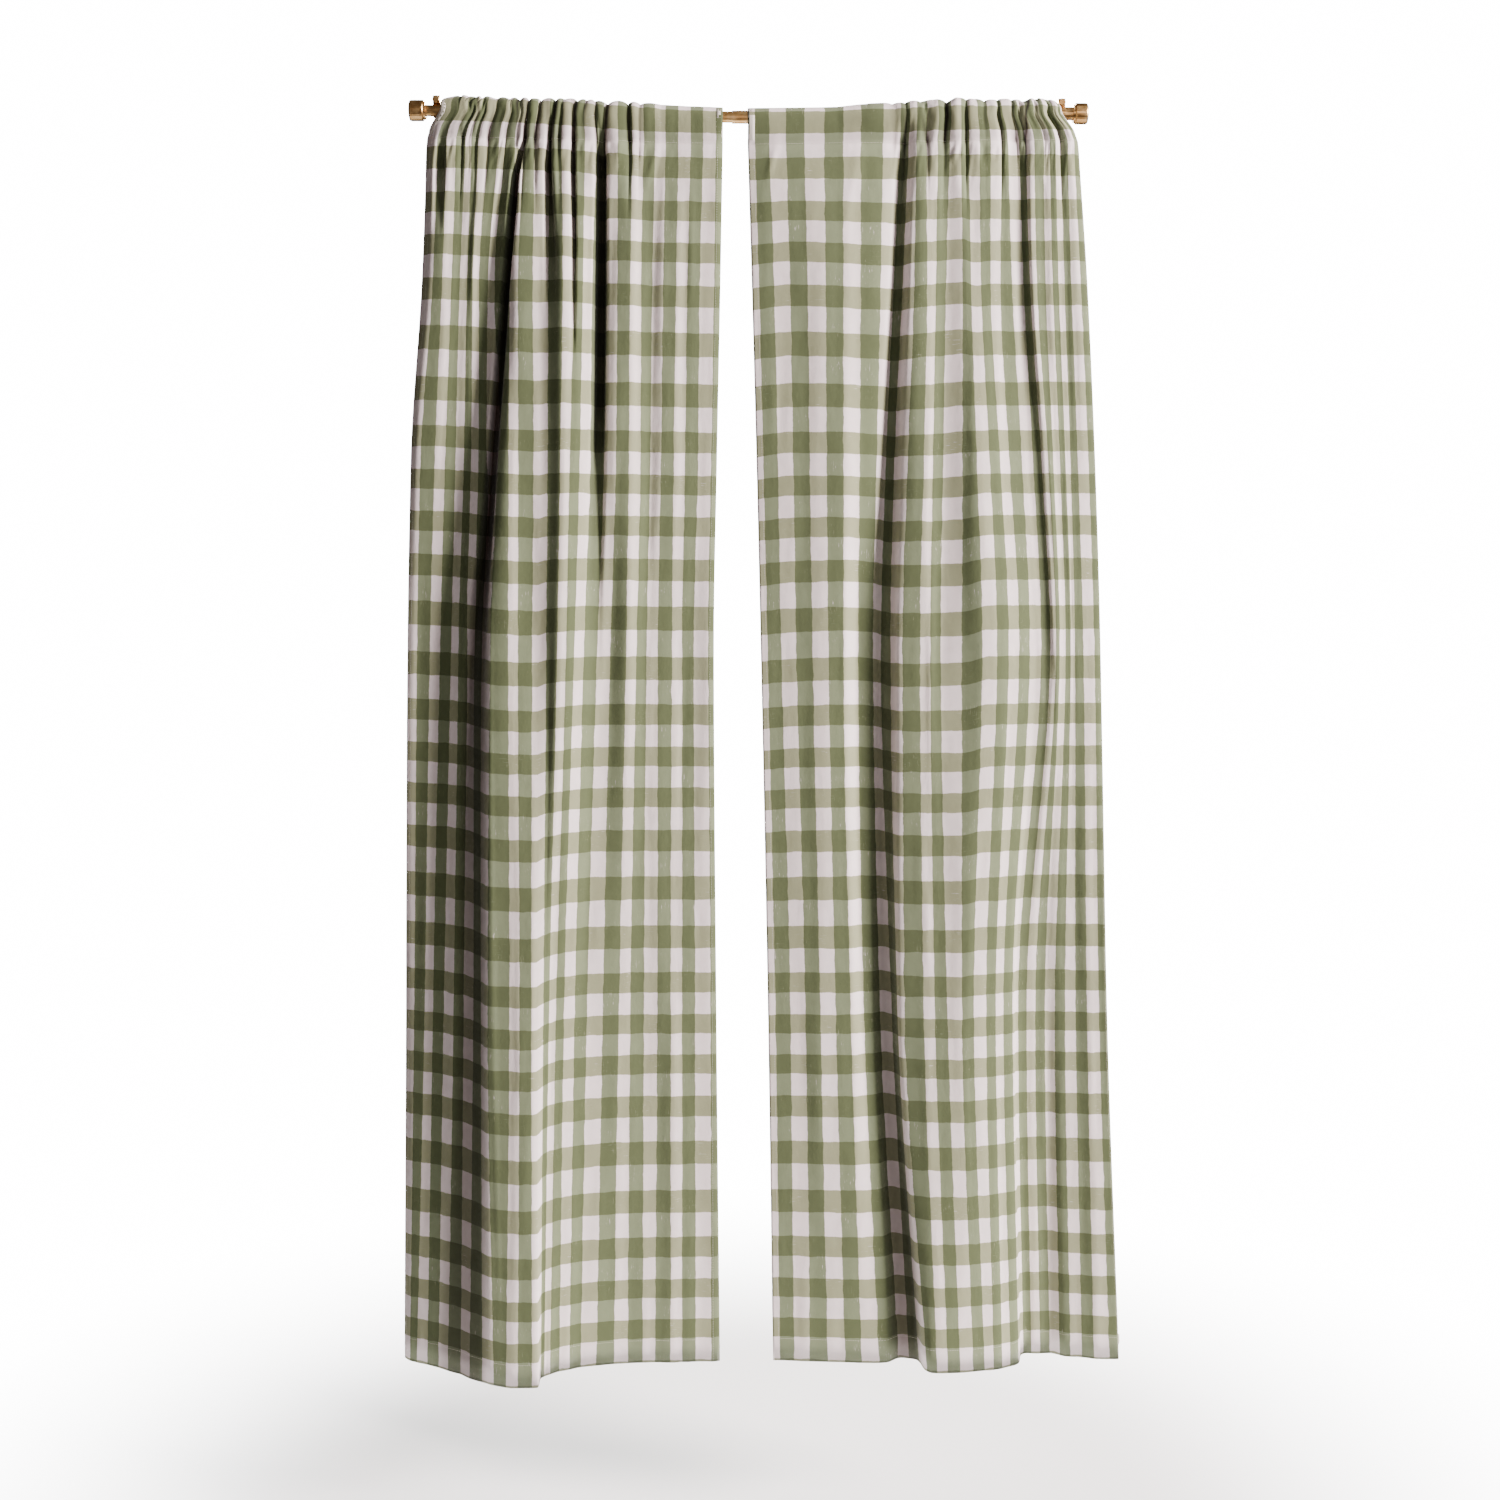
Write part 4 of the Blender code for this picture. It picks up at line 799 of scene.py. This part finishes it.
def gridMesh(name, points, flat, shade):
    # flatCloth says where each point is on the flat cloth, the second layer how much painted shade it gets
    # there
    rows, columns = points.shape[:2]
    mesh = bpy.data.meshes.new(name)
    corners = points.reshape(-1, 3)
    first = (np.arange(rows - 1)[:, None] * columns + np.arange(columns - 1)[None, :]).ravel()
    faces = np.stack([first, first + 1, first + 1 + columns, first + columns], axis=1)
    mesh.vertices.add(len(corners))
    mesh.vertices.foreach_set("co", corners.ravel())
    mesh.loops.add(faces.size)
    mesh.loops.foreach_set("vertex_index", faces.ravel())
    mesh.polygons.add(len(faces))
    mesh.polygons.foreach_set("loop_start", np.arange(0, faces.size, 4))
    layer = mesh.uv_layers.new(name="flatCloth")
    layer.data.foreach_set("uv", flat.reshape(-1, 2)[faces.ravel()].ravel())
    # painted shade of the valleys and tucks, carried as a second set of cloth coordinates
    creases = mesh.uv_layers.new(name="paintedCreaseShade")
    pairs = np.stack([shade.ravel(), shade.ravel()], axis=1)
    creases.data.foreach_set("uv", pairs[faces.ravel()].ravel())
    mesh.update(calc_edges=True)
    mesh.validate()
    mesh.shade_smooth()
    return mesh


def makePanel(plan, faceMaterial, reverseMaterial):
    hanging = Hanging(plan)
    points, flat, shade = panelMesh(hanging)
    mesh = gridMesh(plan["name"], points, flat, shade)
    panel = addPiece(plan["name"], mesh, faceMaterial, reverseMaterial)
    body = panel.modifiers.new("thickness", "SOLIDIFY")
    body.thickness = drape["thickness"]
    body.offset = 0.0
    body.material_offset = 1
    body.material_offset_rim = 0
    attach(panel, "root")
    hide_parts(plan["node"])
    print(plan["name"], "hung:", len(mesh.polygons), "faces")
    return panel, hanging


# Sewing

sewing = {
    "stitchPitch": 4.2 * mm,
    "stitchLength": 3.1 * mm,
    "threadWidth": 0.36 * mm,
    "hemLine": 0.037,               # above the bottom edge
    "sideLine": 0.0115,             # in from each side edge
    "sideLineEnds": (0.006, 0.004),         # it starts below the seam and ends above the hem
    "lift": 0.62 * mm,              # from the middle of the cloth
    "sink": 0.9,                    # how far a bead's half width sinks to the cloth
    "bead": ((0.0, 0.35), (0.25, 1.0), (0.75, 1.0), (1.0, 0.35)),   # place along it, and its width
    "colours": (paint(196, 192, 177), paint(224, 219, 209)),
    "twistScale": 2600.0,
}


def threadShader():
    shader = Shader("sewingThread")
    twist = shader.noise(shader.objectPlace(), sewing["twistScale"], 2.0)
    colour = shader.blend(twist, *sewing["colours"])
    return shader.finish(colour=colour, roughness=0.6 + twist * 0.2, normal=shader.bump(twist, 0.4, 0.2 * mm))


def stitchRun(verts, faces, starts, ends, normals):
    # one small bead of thread for each stitch, with a square section that tapers at its ends
    half = sewing["threadWidth"] / 2.0
    for start, end, normal in zip(starts, ends, normals):
        along = end - start
        side = np.cross(along, normal)
        side = side / max(np.linalg.norm(side), 1e-9) * half
        up = normal * half
        first = len(verts)
        for share, size in sewing["bead"]:
            middle = start + along * share + normal * (sewing["lift"] + half * (size - sewing["sink"]))
            verts.extend(middle + way * size for way in (side, up, -side, -up))
        for ring in range(len(sewing["bead"]) - 1):
            a = first + ring * 4
            for k in range(4):
                b = (k + 1) % 4
                faces.append((a + k, a + b, a + 4 + b, a + 4 + k))


def makeStitches(hanging, material):
    plan = hanging.plan
    pitch = clothPrint["checkWidth"]
    checks = hanging.checks[-1]
    length = sewing["stitchLength"]
    verts, faces = [], []
    inset = sewing["sideLine"] / pitch
    stitches = int((checks - 2 * inset) * pitch / sewing["stitchPitch"])
    starts = inset + np.arange(stitches) * sewing["stitchPitch"] / pitch
    for drop in (drape["stitchDrop"], drape["hemDrop"] - sewing["hemLine"]):
        here = hanging.sheet(starts, [drop, drop + drape["probeDown"]])
        there = hanging.sheet(starts + length / pitch, [drop])[0]
        normals = np.cross(there - here[0], here[0] - here[1])
        normals /= np.linalg.norm(normals, axis=1, keepdims=True)
        stitchRun(verts, faces, here[0], there, normals)
    fromSeam, fromHem = sewing["sideLineEnds"]
    drops = np.arange(drape["stitchDrop"] + fromSeam, drape["hemDrop"] - fromHem, sewing["stitchPitch"])
    for place in (inset, checks - inset):
        here = hanging.sheet([place, place + drape["probeAcross"]], drops)
        there = hanging.sheet([place], drops + length)[:, 0]
        normals = np.cross(here[:, 1] - here[:, 0], here[:, 0] - there)
        normals /= np.linalg.norm(normals, axis=1, keepdims=True)
        stitchRun(verts, faces, here[:, 0], there, normals)
    mesh = bpy.data.meshes.new(plan["name"] + "_stitching")
    mesh.from_pydata([tuple(v) for v in verts], [], faces)
    mesh.shade_smooth()
    piece = addPiece(plan["name"] + "_stitching", mesh, material)
    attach(piece, "root")
    return piece


# Brass

brass = {
    "body": paint(206, 158, 98),
    "shade": paint(150, 98, 48),
    "bright": paint(232, 192, 132),
    "patchScale": 60.0,
    "patchFrom": (0.35, 0.70),
    "speckScale": 900.0,
    "speckFrom": (0.62, 0.72),
    "brushScale": (60.0, 2200.0, 2200.0),
    "brushHeight": 0.2 * mm,
    "tubeTarnish": 0.35,            # share of the dark colour in the specks
    "castTarnish": 0.6,
    "roughness": 0.29,
    "patchRoughness": 0.08,
    "brushRoughness": 0.18,
}


def brassShader(name, tarnish):
    shader = Shader(name)
    place = shader.objectPlace()
    patches = shader.noise(place, brass["patchScale"], 3.0).ramp(*brass["patchFrom"])
    specks = shader.noise(place, brass["speckScale"], 2.0).ramp(*brass["speckFrom"])
    brushed = shader.noise(shader.stretched(place, *brass["brushScale"]), 1.0, 2.0)
    colour = shader.blend(patches, brass["body"], brass["bright"])
    colour = shader.blend(specks * tarnish, colour, brass["shade"])
    roughness = brass["roughness"] + patches * brass["patchRoughness"]
    roughness = roughness + (brushed - 0.5) * brass["brushRoughness"]
    normal = shader.bump(brushed, 0.25, brass["brushHeight"])
    return shader.finish(colour=colour, metallic=1.0, roughness=roughness, normal=normal)


def dressMetal():
    tube = brassShader("tubeBrass", brass["tubeTarnish"])
    cast = brassShader("castBrass", brass["castTarnish"])
    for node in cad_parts:
        if "curtain" in node:
            continue
        shown = bpy.data.objects[node]
        for slot in shown.material_slots:
            slot.material = tube if "tube" in node else cast


# Camera, light and floor

studio = {
    "cameraPlace": (0.0015, -3.285, -0.827),
    "sensorWidth": 36.0,
    "lens": 45.3,
    "shiftUp": -0.1,
    "farthest": 60.0,
    "floorHeight": -2.42,
    "floorRadius": 1.9,
    "floorFadesFrom": 0.35,         # of its radius
    "floorColours": (paint(248, 247, 246), paint(252, 252, 251)),
    "floorRoughness": 0.85,
    "floorGrain": 120.0,
    "background": 16.0,             # strength of the white that the camera sees behind the cloth
    "skyLight": 0.085,
    "skyTint": (1.0, 0.90, 0.86, 1.0),
    # place, aim, width, watts and colour of each lamp
    "lamps": {
        "key": ((6.0, -2.98, 1.24), (0.0, -0.1, -1.0), 1.9, 2100.0, (1.0, 0.89, 0.87)),
        "front": ((0.9, -4.8, 0.1), (0.0, -0.1, -1.1), 2.4, 36.0, (1.0, 0.89, 0.87)),
        "top": ((0.3, -1.0, 1.6), (0.0, -0.1, 0.0), 0.9, 7.0, (1.0, 0.97, 0.93)),
        "floor": ((0.0, 1.8, 0.5), (0.0, 0.8, -2.42), 1.0, 210.0, (1.0, 1.0, 1.0)),
    },
}


def makeCamera():
    camera = bpy.data.objects.new("camera", bpy.data.cameras.new("camera"))
    bpy.context.scene.collection.objects.link(camera)
    camera.location = studio["cameraPlace"]
    camera.rotation_euler = (math.pi / 2.0, 0.0, 0.0)
    camera.data.sensor_width = studio["sensorWidth"]
    camera.data.lens = studio["lens"]
    camera.data.shift_y = studio["shiftUp"]
    camera.data.clip_end = studio["farthest"]
    bpy.context.scene.camera = camera


def addLight(name, place, aim, size, power, colour):
    light = bpy.data.lights.new(name, "AREA")
    light.shape = "DISK"
    light.size = size
    light.energy = power
    light.color = colour
    lamp = bpy.data.objects.new(name, light)
    bpy.context.scene.collection.objects.link(lamp)
    lamp.location = place
    lamp.rotation_euler = (Vector(aim) - Vector(place)).to_track_quat("-Z", "Y").to_euler()


def floorShader():
    # pale, and fading out towards the edge of the disc
    shader = Shader("paleFloor")
    place = shader.objectPlace()
    grain = shader.noise(place, studio["floorGrain"], 2.0)
    colour = shader.blend(grain, *studio["floorColours"])
    far = shader.node("ShaderNodeVectorMath", {"operation": "LENGTH"}, {0: place}, output=1)
    seen = far.ramp(studio["floorRadius"], studio["floorFadesFrom"] * studio["floorRadius"])
    return shader.finish(colour=colour, roughness=studio["floorRoughness"], alpha=seen)


def makeStudio():
    world = bpy.data.worlds.new("studio")
    bpy.context.scene.world = world
    world.use_nodes = True
    nodes = world.node_tree.nodes
    links = world.node_tree.links
    dim = nodes["Background"]
    dim.inputs["Color"].default_value = studio["skyTint"]
    dim.inputs["Strength"].default_value = studio["skyLight"]
    white = nodes.new("ShaderNodeBackground")
    white.inputs["Color"].default_value = (1.0, 1.0, 1.0, 1.0)
    white.inputs["Strength"].default_value = studio["background"]
    path = nodes.new("ShaderNodeLightPath")
    choose = nodes.new("ShaderNodeMixShader")
    links.new(path.outputs["Is Camera Ray"], choose.inputs[0])
    links.new(dim.outputs[0], choose.inputs[1])
    links.new(white.outputs[0], choose.inputs[2])
    links.new(choose.outputs[0], nodes["World Output"].inputs["Surface"])

    for name, lamp in studio["lamps"].items():
        addLight(name, *lamp)

    disc = bmesh.new()
    bmesh.ops.create_circle(disc, cap_ends=True, segments=96, radius=studio["floorRadius"])
    mesh = bpy.data.meshes.new("floor")
    disc.to_mesh(mesh)
    disc.free()
    floor = addPiece("floor", mesh, floorShader())
    floor.location = (0.0, 0.0, studio["floorHeight"])


def main():
    makeCamera()
    makeStudio()
    print("studio ready")
    reverse = reverseShader("clothReverse")
    thread = threadShader()
    for plan in (leftPanel, rightPanel):
        printed = clothShader(plan["name"] + "_print", plan["columnShift"])
        panel, hanging = makePanel(plan, printed, reverse)
        stitching = makeStitches(hanging, thread)
        width = hanging.checks[-1] * clothPrint["checkWidth"] + 2.0 * drape["sideHem"]
    print("cloth sewn")
    dressMetal()
    print("brass dressed")


main()
